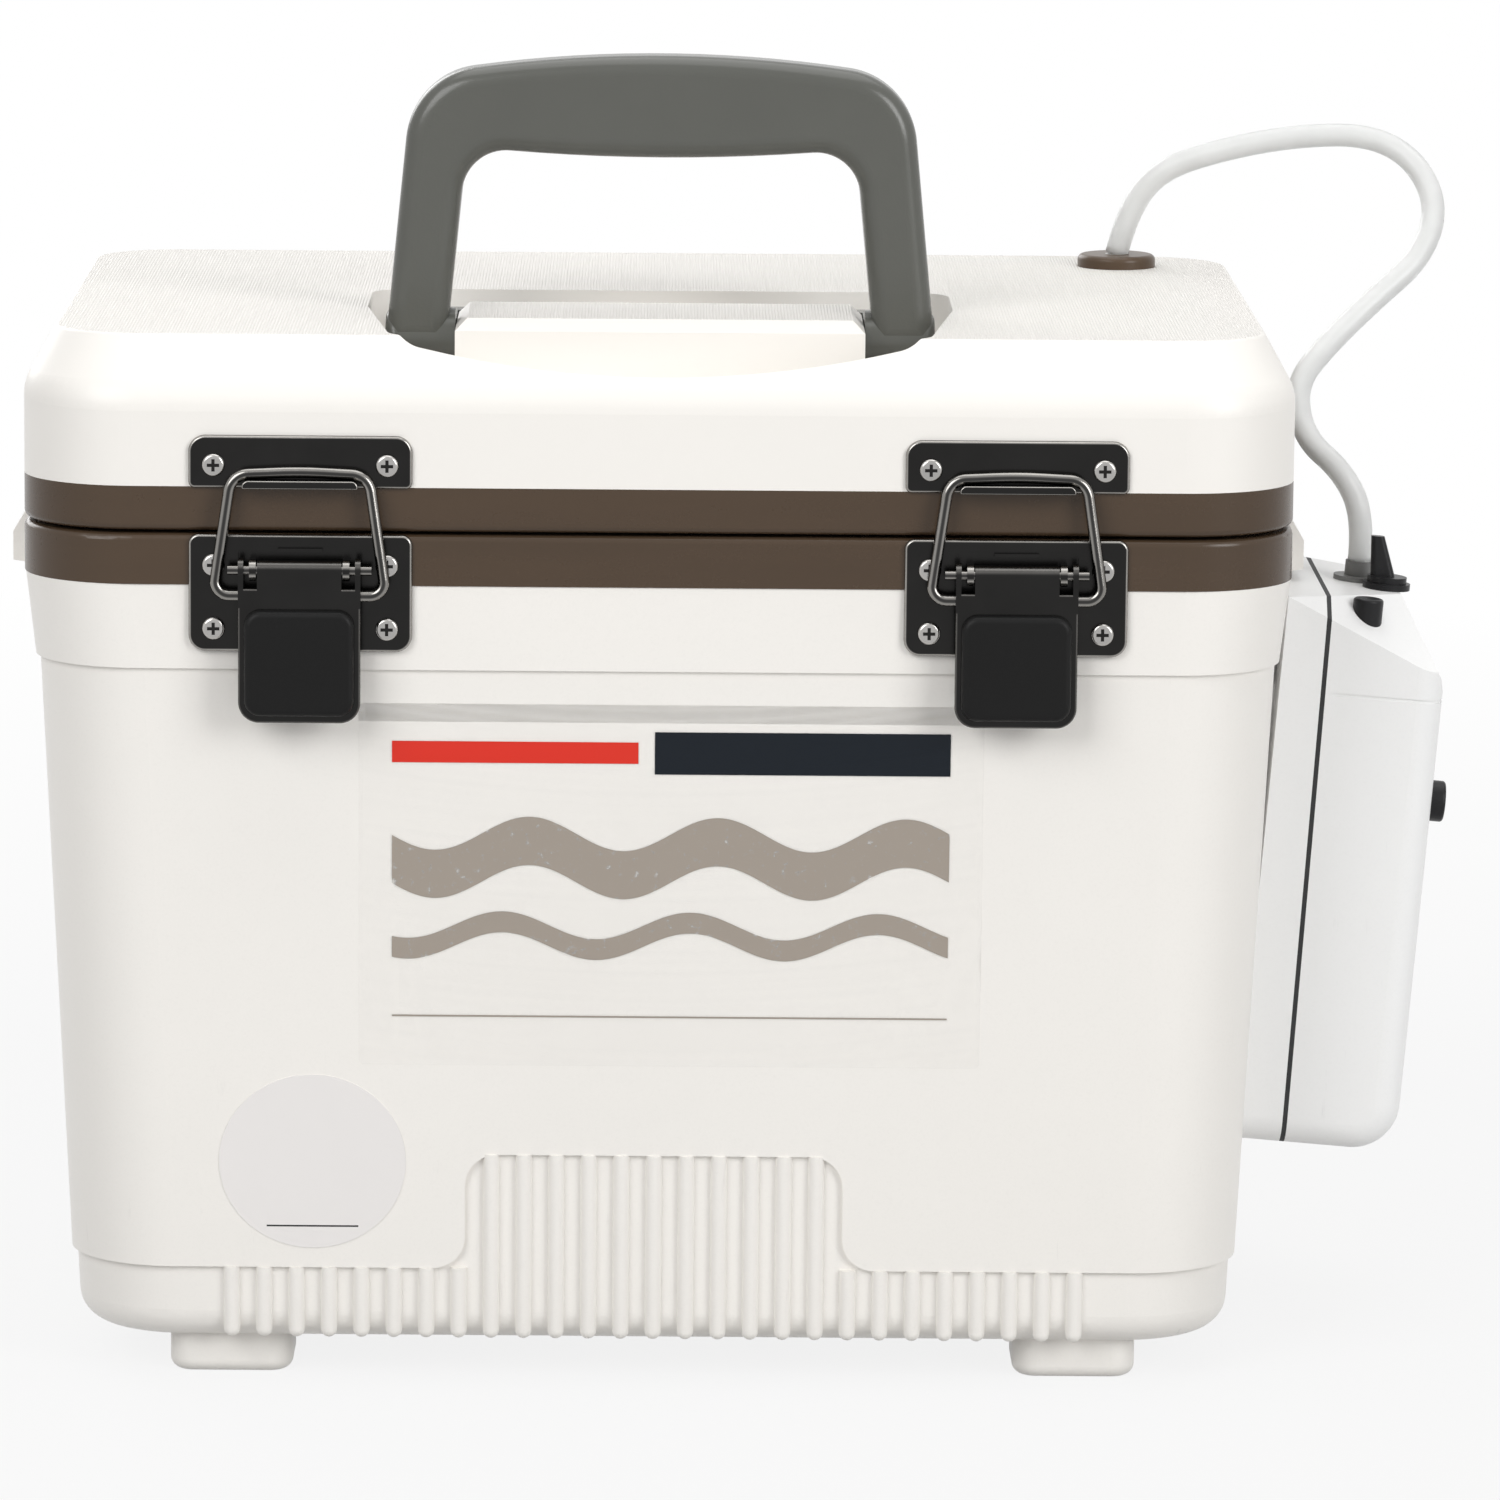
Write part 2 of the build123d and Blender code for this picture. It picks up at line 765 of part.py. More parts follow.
def slab_at(reach, width, bottom, top, depth, low_radius, high_radius):
    """A slab on the front from one reach outward, with rounded lower and upper corners."""
    shape = Rectangle(width, top - bottom)
    shape = fillet(shape.vertices().group_by(Axis.Y)[-1], high_radius)
    shape = fillet(shape.vertices().group_by(Axis.Y)[0], low_radius)
    return extrude(front_face((bottom + top) / 2).offset(reach) * shape, depth)


def outer_edges(shape, reach):
    """The edges of a piece that lie at one reach from the front."""
    return edges_at(shape, front_y - reach, Axis.Y)


def plate(width, bottom, height, low_radius, high_radius):
    """A flat plate on the front face with rounded corners and softened edges."""
    slab = slab_at(0, width, bottom, bottom + height, plate_thickness, low_radius, high_radius)
    return fillet(outer_edges(slab, plate_thickness), plate_edge_radius)


def make_latch_base():
    """The base plate: a pressed recess with two ears for the lever's pin and a small stop."""
    base = plate(base_plate_width, base_plate_bottom, base_plate_height, plate_radius,
                 base_plate_top_radius)
    floor = plate_thickness - recess_depth
    base -= slab_at(floor, recess_width, recess_bottom, recess_top, plate_thickness,
                    recess_radius, recess_radius)
    near = lever_barrel_half + ear_gap
    far = near + plate_ear_thickness
    for side in (-1, 1):
        ear = rod(at_front(side * near, lever_pivot_reach, lever_pivot_z),
                  at_front(side * far, lever_pivot_reach, lever_pivot_z), 2 * plate_ear_radius)
        low, high = sorted((side * near, side * far))
        ear += box_between(at_front(low, lever_pivot_reach, lever_pivot_z - plate_ear_radius),
                           at_front(high, floor, lever_pivot_z + plate_ear_radius))
        base += ear
    base += box_between(at_front(-stop_width / 2, plate_thickness + stop_reach, stop_z),
                        at_front(stop_width / 2, floor, stop_z + stop_height))
    base -= latch_pin()
    holes = [(side * screw_spacing / 2, z) for side in (-1, 1)
             for z in (base_screw_upper_z, base_screw_lower_z)]
    return base - screw_shanks(holes, front_y, 1)


def latch_pin():
    """The pin that the lever swings on, held in the base plate's ears."""
    half = lever_pin_length / 2
    return rod(at_front(-half, lever_pivot_reach, lever_pivot_z),
               at_front(half, lever_pivot_reach, lever_pivot_z), lever_pin_diameter)


def lever_flange():
    """The lever's right-hand flange, which holds the pin and the bail's foot."""
    half = lever_width / 2
    back = lever_pivot_reach - lever_flange_radius
    outline = [
        (back, bail_pivot_z), (back, lever_pivot_z),
        (lever_pivot_reach + lever_flange_radius, lever_pivot_z),
        (lever_front_reach, lever_shoulder), (lever_front_reach, lever_flange_bottom),
        (lever_front_reach - lever_thickness, lever_flange_bottom),
    ]
    side = make_face(Polyline(*[(front_y - reach, z) for reach, z in outline], close=True))
    flange = extrude(Plane.YZ.offset(half - lever_flange_thickness) * side, lever_flange_thickness)
    return flange + rod(at_front(half - lever_flange_thickness, lever_pivot_reach, lever_pivot_z),
                        at_front(half, lever_pivot_reach, lever_pivot_z), 2 * lever_flange_radius)


def make_latch_lever():
    """The lever: a barrel rolled round the pin, a long flat arm and a flange at either side."""
    back = lever_front_reach - lever_thickness
    arm = slab_at(back, lever_width, lever_bottom, lever_shoulder, lever_thickness,
                  lever_corner, lever_edge_radius)
    arm = fillet(outer_edges(arm, lever_front_reach), lever_edge_radius)
    neck = box_between(at_front(-lever_barrel_half, lever_front_reach, lever_flange_bottom),
                       at_front(lever_barrel_half, back, lever_pivot_z))
    barrel = rod(at_front(-lever_barrel_half, lever_pivot_reach, lever_pivot_z),
                 at_front(lever_barrel_half, lever_pivot_reach, lever_pivot_z),
                 2 * (lever_front_reach - lever_pivot_reach))
    lever = arm + neck + barrel + lever_flange() + mirror(lever_flange(), Plane.YZ)
    half = lever_width / 2
    for reach, z, diameter in ((lever_pivot_reach, lever_pivot_z, lever_pin_diameter),
                               (bail_pivot_reach, bail_pivot_z, bail_diameter)):
        lever -= rod(at_front(-half - 1, reach, z), at_front(half + 1, reach, z),
                     diameter + bail_play)
    return lever


def make_lever_pad():
    """The moulded grip on the lever's arm, with softly crowned edges."""
    pad = slab_at(lever_front_reach, lever_pad_width, lever_pad_bottom, lever_pad_top,
                  lever_pad_thickness, lever_pad_corner, lever_pad_corner)
    return fillet(outer_edges(pad, lever_front_reach + lever_pad_thickness), lever_pad_edge)


def make_latch_bail():
    """The wire loop that hooks over the keeper and pivots in the lever's flanges."""
    end = lever_width / 2 - lever_flange_thickness
    half = [
        at_front(bail_top_half, bail_top_reach, bail_corner_z),
        at_front(bail_foot_half, bail_pivot_reach, bail_pivot_z),
        at_front(end, bail_pivot_reach, bail_pivot_z),
    ]
    middle = at_front(0, bail_top_reach, bail_middle_z)
    points = [(-x, y, z) for x, y, z in reversed(half)] + [middle] + half
    radii = [bail_foot_radius, bail_corner_radius, bail_crown_radius, bail_corner_radius,
             bail_foot_radius]
    path = FilletPolyline(*points, radius=radii)
    section = Plane(path @ 0, z_dir=path % 0) * Circle(bail_diameter / 2)
    return sweep(section, path=path)


def make_keeper():
    """The plate on the lid with a lip that the bail pulls down on."""
    keeper = plate(base_plate_width, keeper_bottom, keeper_height, keeper_low_radius, plate_radius)
    lip_front = plate_thickness + keeper_lip_reach
    lip = slab_at(0, keeper_lip_width, keeper_lip_top - keeper_lip_thickness, keeper_lip_top,
                  lip_front, keeper_lip_low_corner, keeper_lip_corner)
    keeper += fillet(outer_edges(lip, lip_front), keeper_lip_edge)
    holes = [(side * screw_spacing / 2, keeper_screw_z) for side in (-1, 1)]
    return keeper - screw_shanks(holes, front_y, 1)


# ---- Rear hinges -------------------------------------------------------------------------
def hinge_axis():
    """Y and Z of the lid's hinge pins."""
    return rear_y + hinge_knuckle_radius + hinge_rear_gap, (rim_top + lid_bottom) / 2


def hinge_screws_at(leaf):
    """Where the hinge leaves are screwed on: leaf is -1 for the tub's and 1 for the lid's."""
    z = hinge_axis()[1] + leaf * hinge_screw_offset
    return [(side * latch_spacing / 2 + x * hinge_screw_spacing / 2, z)
            for side in (-1, 1) for x in (-1, 1)]


def make_hinge_leaf(leaf):
    """Both hinges' leaves on the tub (-1) or the lid (1), with their rolled knuckles."""
    y, z = hinge_axis()
    near = z + leaf * (hinge_knuckle_radius + hinge_leaf_gap)
    far = near + leaf * hinge_leaf_height
    pitch = hinge_width / hinge_knuckles
    leaves = []
    for side in (-1, 1):
        x = side * latch_spacing / 2
        body = box_between((x - hinge_width / 2, rear_y, min(near, far)),
                           (x + hinge_width / 2, rear_y + hinge_thickness, max(near, far)))
        for number in range(hinge_knuckles):
            if (number % 2 == 0) != (leaf < 0):
                continue
            start = x - hinge_width / 2 + number * pitch + hinge_knuckle_gap / 2
            end = start + pitch - hinge_knuckle_gap
            body += rod((start, y, z), (end, y, z), 2 * hinge_knuckle_radius)
            body += box_between((start, rear_y + hinge_rear_gap, min(z, near)),
                                (end, rear_y + hinge_thickness, max(z, near)))
        leaves.append(body)
    shape = Compound(leaves) - make_hinge_pins()
    return shape - screw_shanks(hinge_screws_at(leaf), rear_y, -1)


def make_hinge_pins():
    y, z = hinge_axis()
    pins = []
    for side in (-1, 1):
        x = side * latch_spacing / 2
        half = hinge_width / 2 + hinge_pin_proud
        pins.append(rod((x - half, y, z), (x + half, y, z), hinge_pin_diameter))
    return Compound(pins)


# ---- Air pump, drawn upright with u across its seam and its bottom at w = 0 --------------
def wall_x(z):
    return tub_size(z)[0] / 2


def pump_place():
    """Where the pump's seam plane stands: leaning out, its foot just clear of the tub."""
    foot_x = wall_x(pump_bottom) + pump_side_clearance + pump_back_thickness + pump_seam_thickness / 2
    return Pos(foot_x, 0, pump_bottom) * Rot(0, pump_lean, 0)


def pump_u(kind):
    """The u of the pump's back plane, of the seam's two faces and of its front face."""
    seam = pump_seam_thickness / 2
    return {"back": -seam - pump_back_thickness, "seam_back": -seam, "seam_front": seam,
            "front": seam + pump_front_thickness}[kind]


def pump_middle():
    """The u of the middle of the pump's thickness."""
    return (pump_u("back") + pump_u("front")) / 2


def pump_form():
    """The closed outer form of the pump, before it is parted at the seam."""
    back, front = pump_u("back"), pump_u("front")
    outline = [
        (back, 0), (front, 0), (front, pump_shoulder_height - pump_shoulder_break),
        (front - 1, pump_shoulder_height), (pump_deck_end, pump_height), (back, pump_height),
    ]
    form = profile(outline, pump_width)
    for side in (-1, 1):
        form -= corner_cutter(side)
    low = edges_at(form, front, Axis.X).filter_by(Axis.Y)
    form = fillet(low.group_by(Axis.Z)[0], pump_bottom_radius)
    upright = form.edges().filter_by(Axis.Z).group_by(Axis.X)[-1]
    return fillet(upright, pump_corner_radius)


def corner_cutter(side):
    """Everything above the sloping facet at one top corner of the front shell."""
    origin = Vector(0, side * pump_deck_half, pump_height)
    along_deck = Vector(pump_facet_u, side * pump_facet_y, pump_height) - origin
    down = Vector(pump_u("front"), side * pump_width / 2, pump_shoulder_height) - origin
    normal = along_deck.cross(down) * side
    return extrude(Plane(origin, z_dir=normal) * Rectangle(2 * pump_width, 2 * pump_width),
                   pump_width)


def pump_hollow():
    """The room inside the pump's shells, stepped in at the top."""
    back, front = pump_u("back") + pump_wall, pump_u("front") - pump_wall
    half = pump_width / 2 - pump_wall
    step = pump_shoulder_height - 2 * pump_wall
    lower = box_between((back, -half, pump_wall), (front, half, step))
    lower = fillet(edges_at(lower, front, Axis.X).filter_by(Axis.Z), pump_corner_radius - pump_wall)
    lower = fillet(edges_at(lower, pump_wall).group_by(Axis.X)[-1], pump_bottom_radius - pump_wall)
    upper = box_between((back, -pump_head_room, step - 1),
                        (pump_deck_end - 2 * pump_wall, pump_head_room, pump_height - 2 * pump_wall))
    return lower + upper


def seam_zone(back, front):
    """A slab between two distances from the seam, which stands further out at its foot."""
    low, high = -cut_margin, pump_height + cut_margin
    out_low, out_high = [pump_seam_tilt * (1 - z / pump_height) for z in (low, high)]
    outline = [(back + out_low, low), (front + out_low, low), (front + out_high, high),
               (back + out_high, high)]
    return profile(outline, pump_width + 2 * cut_margin)


def pump_shells():
    """The back shell, the seam gasket and the front shell."""
    form, hollow = pump_form(), pump_hollow()
    half_seam = pump_seam_thickness / 2
    skin = form - hollow
    back = skin & seam_zone(-pump_width, -half_seam)
    gasket = skin & seam_zone(-half_seam, half_seam)
    front = skin & seam_zone(half_seam, pump_width)
    line_z = pump_shoulder_height - pump_line_drop
    band = box_between((pump_seam_tilt + 1, -pump_width, line_z),
                       (pump_width, pump_width, line_z + pump_line_width))
    front -= band - (band & line_core())
    for item in (nozzle_hole(), switch_hole(), plug_hole(), button_hole()):
        front -= item
    return back, gasket, front


def line_core():
    """What the moulded line round the front shell leaves standing."""
    half = pump_width / 2 - pump_line_depth
    front = pump_u("front") - pump_line_depth
    core = box_between((pump_u("back"), -half, 0), (front, half, pump_height))
    return fillet(edges_at(core, front, Axis.X).filter_by(Axis.Z),
                  pump_corner_radius - pump_line_depth)


def deck_hole(u, y, diameter):
    return Pos(u, y, pump_height) * Cylinder(diameter / 2, 2 * deck_hole_depth)


def nozzle_hole():
    return deck_hole(nozzle_u, 0, nozzle_diameter)


def switch_hole():
    return deck_hole(switch_u, switch_y, switch_stem_diameter + clearance)


def plug_hole():
    bottom = pump_height + plug_rise - plug_length
    return Pos(plug_u, plug_y, bottom) * extrude(Circle(plug_diameter / 2), 2 * plug_length)


def button_hole():
    front = pump_u("front")
    return rod((front - button_depth - 1, button_y, button_height),
               (front + 1, button_y, button_height), button_diameter + 2 * button_play)


def make_nozzle():
    flange = Pos(nozzle_u, 0, pump_height) * extrude(
        Circle(nozzle_flange_diameter / 2), nozzle_flange_thickness)
    barrel = nozzle_shank + nozzle_flange_thickness + nozzle_height
    bottom = pump_height - nozzle_shank
    return flange + Pos(nozzle_u, 0, bottom) * extrude(Circle(nozzle_diameter / 2), barrel)


def make_switch():
    """The black speed lever: a disc on a stem, with a paddle that stands up from it."""
    base = Pos(switch_u, switch_y, pump_height)
    thickness = switch_disc_thickness
    switch = base * Pos(0, 0, -switch_stem_length) * extrude(
        Circle(switch_stem_diameter / 2), switch_stem_length)
    switch += base * extrude(Circle(switch_base_diameter / 2), thickness)
    switch += base * Pos(0, 0, thickness) * extrude(Circle(switch_disc_diameter / 2), thickness)
    foot = Pos(-paddle_foot_shift, 0, 2 * thickness) * RectangleRounded(
        paddle_foot_length, paddle_foot_width, paddle_foot_radius)
    tip = Pos(-paddle_tip_shift, 0, 2 * thickness + switch_height) * RectangleRounded(
        paddle_tip_length, paddle_tip_width, paddle_tip_radius)
    return switch + loft([base * foot, base * tip])


def make_plug():
    """The rubber plug that stands in the front shell's sloping corner."""
    top = pump_height + plug_rise
    plug = Pos(plug_u, plug_y, top - plug_length) * extrude(Circle(plug_diameter / 2), plug_length)
    return fillet(edges_at(plug, top), plug_edge_radius)


def make_button():
    front = pump_u("front")
    stem = rod((front - button_depth, button_y, button_height),
               (front + button_proud, button_y, button_height), button_diameter)
    return fillet(edges_at(stem, front + button_proud, Axis.X), button_edge_radius)


def make_cells():
    """Two D cells standing side by side."""
    u = pump_middle() + cell_shift
    cells = []
    for side in (-1, 1):
        place = Pos(u, side * (cell_diameter / 2 + cell_half_gap), cell_floor)
        cell = extrude(Circle(cell_diameter / 2), cell_length)
        cell += Pos(0, 0, cell_length) * extrude(Circle(cell_nub_diameter / 2), cell_nub_height)
        cells.append(place * cell)
    return Compound(cells)


def make_contacts():
    """The battery contacts: a strip under both cells and a plate over each."""
    u = pump_middle() + cell_shift
    reach = cell_diameter * contact_strip_share
    half_strip, half_plate = contact_strip_width / 2, contact_plate_size / 2
    plates = [box_between((u - half_strip, -reach, pump_wall), (u + half_strip, reach, cell_floor))]
    low = cell_floor + cell_length + cell_nub_height
    for side in (-1, 1):
        y = side * (cell_diameter / 2 + cell_half_gap)
        plates.append(box_between((u - half_plate, y - half_plate, low),
                                  (u + half_plate, y + half_plate, low + contact_plate_thickness)))
    return Compound(plates)


def chassis_floor():
    """The height of the chassis over the cells and their contacts."""
    return cell_floor + cell_length + cell_nub_height + contact_plate_thickness


def make_chassis():
    """The moulded frame that carries the motor above the cells."""
    back, front = pump_u("back") + pump_wall, pump_u("front") - pump_wall
    half = pump_width / 2 - pump_wall
    low = chassis_floor()
    top = low + chassis_thickness
    deck = box_between((back, -half, low), (front - pump_corner_radius, half, top))
    cup = extrude(Circle(motor_diameter / 2 + motor_cup_wall), motor_cup_height)
    return deck + Pos(pump_middle(), 0, top) * cup - motor_body()


def motor_body():
    low = chassis_floor() + chassis_thickness
    return Pos(pump_middle(), 0, low) * extrude(Circle(motor_diameter / 2), motor_length)


def make_pump_head():
    """The diaphragm head on top of the motor, with its outlet leading up to the nozzle."""
    low = chassis_floor() + chassis_thickness + motor_length
    top = pump_height - nozzle_shank
    roof = low + head_height
    head = Pos(pump_middle(), 0, (low + roof) / 2) * Box(head_depth, head_width, head_height)
    return head + Pos(nozzle_u, 0, roof) * extrude(Circle(head_outlet_diameter / 2), top - roof)


def pump_back_x(z):
    """The X of the pump's back plane at a height."""
    lean = radians(pump_lean)
    foot = wall_x(pump_bottom) + pump_side_clearance + pump_back_thickness + pump_seam_thickness / 2
    start_x = foot + pump_u("back") * cos(lean)
    start_z = pump_bottom - pump_u("back") * sin(lean)
    return start_x + (z - start_z) * tan(lean)


def bracket_screws_at():
    return [bracket_low + bracket_screw_inset, bracket_high - bracket_screw_inset]


def make_bracket():
    """The wedge between the tub's drafted wall and the pump's leaning back."""
    outline = [
        (wall_x(bracket_low), bracket_low), (pump_back_x(bracket_low), bracket_low),
        (pump_back_x(bracket_high), bracket_high), (wall_x(bracket_high), bracket_high),
    ]
    return profile(outline, bracket_width) - bracket_screws()


def bracket_screws():
    screws = []
    for z in bracket_screws_at():
        x = pump_back_x(z) - bracket_screw_sunk
        shank = rod((x, 0, z), (wall_x(z) - tub_wall, 0, z), bracket_screw_diameter)
        screws.append(shank + rod((x, 0, z), (x - bracket_screw_head_height, 0, z),
                                   bracket_screw_head))
    return Compound(screws)


# ---- Air line ----------------------------------------------------------------------------
def grommet_neck():
    return grommet_diameter - 2 * grommet_lip


def make_grommet():
    """The rubber grommet in the lid: a domed disc on a neck, bored for the tube."""
    dome = extrude(Circle(grommet_diameter / 2), grommet_height)
    dome = fillet(edges_at(dome, grommet_height), grommet_height * grommet_round_share)
    neck = Pos(0, 0, -2 * lid_wall) * extrude(Circle(grommet_neck() / 2), 2 * lid_wall)
    return Pos(grommet_x, grommet_y, lid_top) * (dome + neck) - tube_hole(tube_diameter)


def tube_hole(diameter):
    """An upright bore right through the lid at the grommet."""
    return Pos(grommet_x, grommet_y, lid_top) * Cylinder(diameter / 2, 2 * cavity_height)


def nozzle_exit():
    """The point where the tube leaves the nozzle."""
    top = pump_height + nozzle_flange_thickness + nozzle_height
    return (pump_place() * Pos(nozzle_u, 0, top)).position


def outer_tube_points():
    """The tube's route from the nozzle, out past the lid and over to the grommet."""
    start = nozzle_exit()
    upward = (pump_place() * Pos(0, 0, 1)).position - pump_place().position
    end = Vector(grommet_x, grommet_y, lid_top + grommet_height)
    bows = [
        (-0.2, -4.2, 17.5), (-5.9, -3.0, 20.5), (-3.3, 0.9, 27.8), (9.2, 5.3, 31.6),
        (25.7, 8.0, 37.4), (43.6, 10.2, 43.3), (52.2, 13.0, 51.0), (50.5, 16.1, 57.4),
        (43.1, 15.4, 57.9), (29.6, 12.8, 52.2), (16.2, 9.9, 43.7), (2.5, 8.3, 32.6),
        (-1.5, 4.9, 16.1),
    ]
    step = (end - start) / (len(bows) + 1)
    route = [start + step * (number + 1) + Vector(*bow) for number, bow in enumerate(bows)]
    return [start, start + upward * tube_first_run, *route, end]


def inner_tube_points():
    """The tube's route from the grommet's top down inside the bucket to the air stone."""
    stone_top = stone_bottom + stone_length
    middle_x, middle_y = (grommet_x + stone_x) / 2, (grommet_y + stone_y) / 2
    return [
        (grommet_x, grommet_y, lid_top + grommet_height),
        (grommet_x, grommet_y, lid_top - inner_tube_first_run),
        (middle_x, middle_y, stone_top + inner_tube_middle_rise),
        (stone_x, stone_y, stone_top + inner_tube_last_run),
        (stone_x, stone_y, stone_top),
    ]


def make_stone():
    stone = Pos(stone_x, stone_y, stone_bottom) * extrude(Circle(stone_diameter / 2), stone_length)
    return fillet(edges_at(stone, stone_bottom), stone_edge_radius)


# ---- Labels ------------------------------------------------------------------------------
def make_label():
    face = front_plane(label_x, label_z)
    return extrude(face * RectangleRounded(label_width, label_height, label_corner), label_thickness)


def make_sticker():
    face = front_plane(sticker_x, sticker_z)
    return extrude(face * Ellipse(sticker_width / 2, sticker_height / 2), label_thickness)


# ---- Assembly ----------------------------------------------------------------------------
def build_tub():
    pieces["tub_feet"] = make_tub_feet()
    pieces["tub_base"], pieces["tub_shell"] = make_tub_walls()
    pieces["tub_liner"] = make_tub_liner()
    pieces["tub_foam"] = make_tub_foam()
    pieces["tub_rim"] = make_tub_rim()
    pieces["front_label"] = make_label()
    pieces["capacity_sticker"] = make_sticker()


def build_lid():
    pieces["lid_shell"] = make_lid_shell()
    pieces["lid_rim"] = make_lid_rim()
    pieces["lid_gasket"] = make_lid_gasket()
    pieces["lid_liner"] = make_lid_liner()
    pieces["lid_foam"] = make_lid_foam()
    pieces["handle_pins"] = Compound([handle_pin(-1), handle_pin(1)])
    pieces["handle"] = make_handle()


def build_latches():
    base, lever, pad = make_latch_base(), make_latch_lever(), make_lever_pad()
    bail, keeper = make_latch_bail(), make_keeper()
    for name, side in (("left", -1), ("right", 1)):
        place = Pos(side * latch_spacing / 2, 0, 0)
        pieces[f"latch_base_{name}"] = place * base
        pieces[f"latch_pin_{name}"] = place * latch_pin()
        pieces[f"latch_lever_{name}"] = place * lever
        pieces[f"lever_pad_{name}"] = place * pad
        pieces[f"latch_bail_{name}"] = place * bail
        pieces[f"keeper_{name}"] = place * keeper
    base_places = base_screws_at(base_screw_upper_z) + base_screws_at(base_screw_lower_z)
    pieces["latch_base_screws"] = make_screws(base_places, front_y, 1, plate_thickness)
    pieces["keeper_screws"] = make_screws(keeper_screws_at(), front_y, 1, plate_thickness)


def build_hinges():
    pieces["hinge_leaf_tub"] = make_hinge_leaf(-1)
    pieces["hinge_leaf_lid"] = make_hinge_leaf(1)
    pieces["hinge_pins"] = make_hinge_pins()
    pieces["hinge_screws_tub"] = make_screws(hinge_screws_at(-1), rear_y, -1, hinge_thickness)
    pieces["hinge_screws_lid"] = make_screws(hinge_screws_at(1), rear_y, -1, hinge_thickness)


def build_pump():
    place = pump_place()
    back, gasket, front = pump_shells()
    upright = {
        "pump_back_shell": back, "pump_gasket": gasket, "pump_front_shell": front,
        "pump_nozzle": make_nozzle(), "speed_lever": make_switch(), "pump_plug": make_plug(),
        "release_button": make_button(), "battery_cells": make_cells(),
        "battery_contacts": make_contacts(), "pump_chassis": make_chassis(),
        "pump_motor": motor_body(), "pump_head": make_pump_head(),
    }
    for name, shape in upright.items():
        pieces[name] = place * shape
    pieces["pump_bracket"] = make_bracket()
    pieces["bracket_screws"] = bracket_screws()


def build_air_line():
    pieces["tube_grommet"] = make_grommet()
    outer, inner = outer_tube_points(), inner_tube_points()
    last_run = Vector(outer[-1]) - Vector(outer[-2])
    below_grommet = Vector(outer[-1]) + last_run.normalized() * tube_overlap
    for name, points in (("air_tube", [*outer[:-1], below_grommet]), ("drop_tube", inner)):
        tube, radii, length = hose(points, tube_diameter)
        pieces[name] = tube
        print(name, "length", round(length, 1), "bend radii", [round(r, 1) for r in radii])
    pieces["air_tube"] -= box_between(
        (grommet_x - tube_diameter, grommet_y - tube_diameter, lid_top),
        (grommet_x + tube_diameter, grommet_y + tube_diameter, lid_top + grommet_height))
    pieces["air_stone"] = make_stone()


def main():
    for build in (build_tub, build_lid, build_latches, build_hinges, build_pump, build_air_line):
        build()
    solid = Compound([shape for name, shape in pieces.items() if not name.endswith("_tube")])
    bounds = solid.bounding_box()
    to_origin = Pos(-bounds.center().X, -bounds.center().Y, -bounds.min.Z)
    os.makedirs("parts", exist_ok=True)
    for name, shape in pieces.items():
        export_step(to_origin * shape, f"parts/{name}.step")
    print("moved by", to_origin.position)


main()
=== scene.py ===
"""Dresses an aerated bait bucket: moulded shells, rim bands, draw latches, air pump and tube."""

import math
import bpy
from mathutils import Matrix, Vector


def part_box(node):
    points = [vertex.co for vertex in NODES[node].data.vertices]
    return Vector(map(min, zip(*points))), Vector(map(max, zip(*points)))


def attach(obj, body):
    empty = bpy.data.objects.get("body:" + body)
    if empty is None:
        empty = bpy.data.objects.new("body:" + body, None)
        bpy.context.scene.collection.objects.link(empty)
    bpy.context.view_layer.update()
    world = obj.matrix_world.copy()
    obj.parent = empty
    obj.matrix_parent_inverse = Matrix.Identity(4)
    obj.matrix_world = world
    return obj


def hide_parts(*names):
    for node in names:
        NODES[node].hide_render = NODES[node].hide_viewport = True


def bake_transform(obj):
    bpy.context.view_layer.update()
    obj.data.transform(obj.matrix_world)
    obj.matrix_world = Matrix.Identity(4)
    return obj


bl_info = {
    "name": "Aerated Bait Bucket",
    "version": (1, 0, 0),
    "blender": (4, 5, 0),
    "location": "3D View > Sidebar > Bait Bucket",
    "description": "Finishes and air line for an insulated bait bucket with a battery air pump",
    "category": "Object",
}

import bmesh
import bpy
from bpy.props import FloatProperty, FloatVectorProperty, IntProperty, PointerProperty
from mathutils import Matrix, Vector

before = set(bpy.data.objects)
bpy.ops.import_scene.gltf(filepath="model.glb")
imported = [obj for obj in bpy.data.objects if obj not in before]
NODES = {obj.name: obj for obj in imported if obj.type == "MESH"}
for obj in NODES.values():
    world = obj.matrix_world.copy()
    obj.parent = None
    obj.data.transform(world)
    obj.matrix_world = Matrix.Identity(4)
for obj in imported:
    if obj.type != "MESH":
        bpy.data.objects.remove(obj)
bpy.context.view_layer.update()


def mm(*values):
    """Millimetres to metres, as one number or a vector."""
    return values[0] / 1000 if len(values) == 1 else Vector(values) / 1000


# ---- Settings ----------------------------------------------------------------------------
def colour(name, description, default):
    return FloatVectorProperty(name=name, description=description, subtype="COLOR", size=3,
                               min=0, max=1, default=default)


def length(name, description, default):
    return FloatProperty(name=name, description=description, subtype="DISTANCE", unit="LENGTH",
                         min=0, default=default)


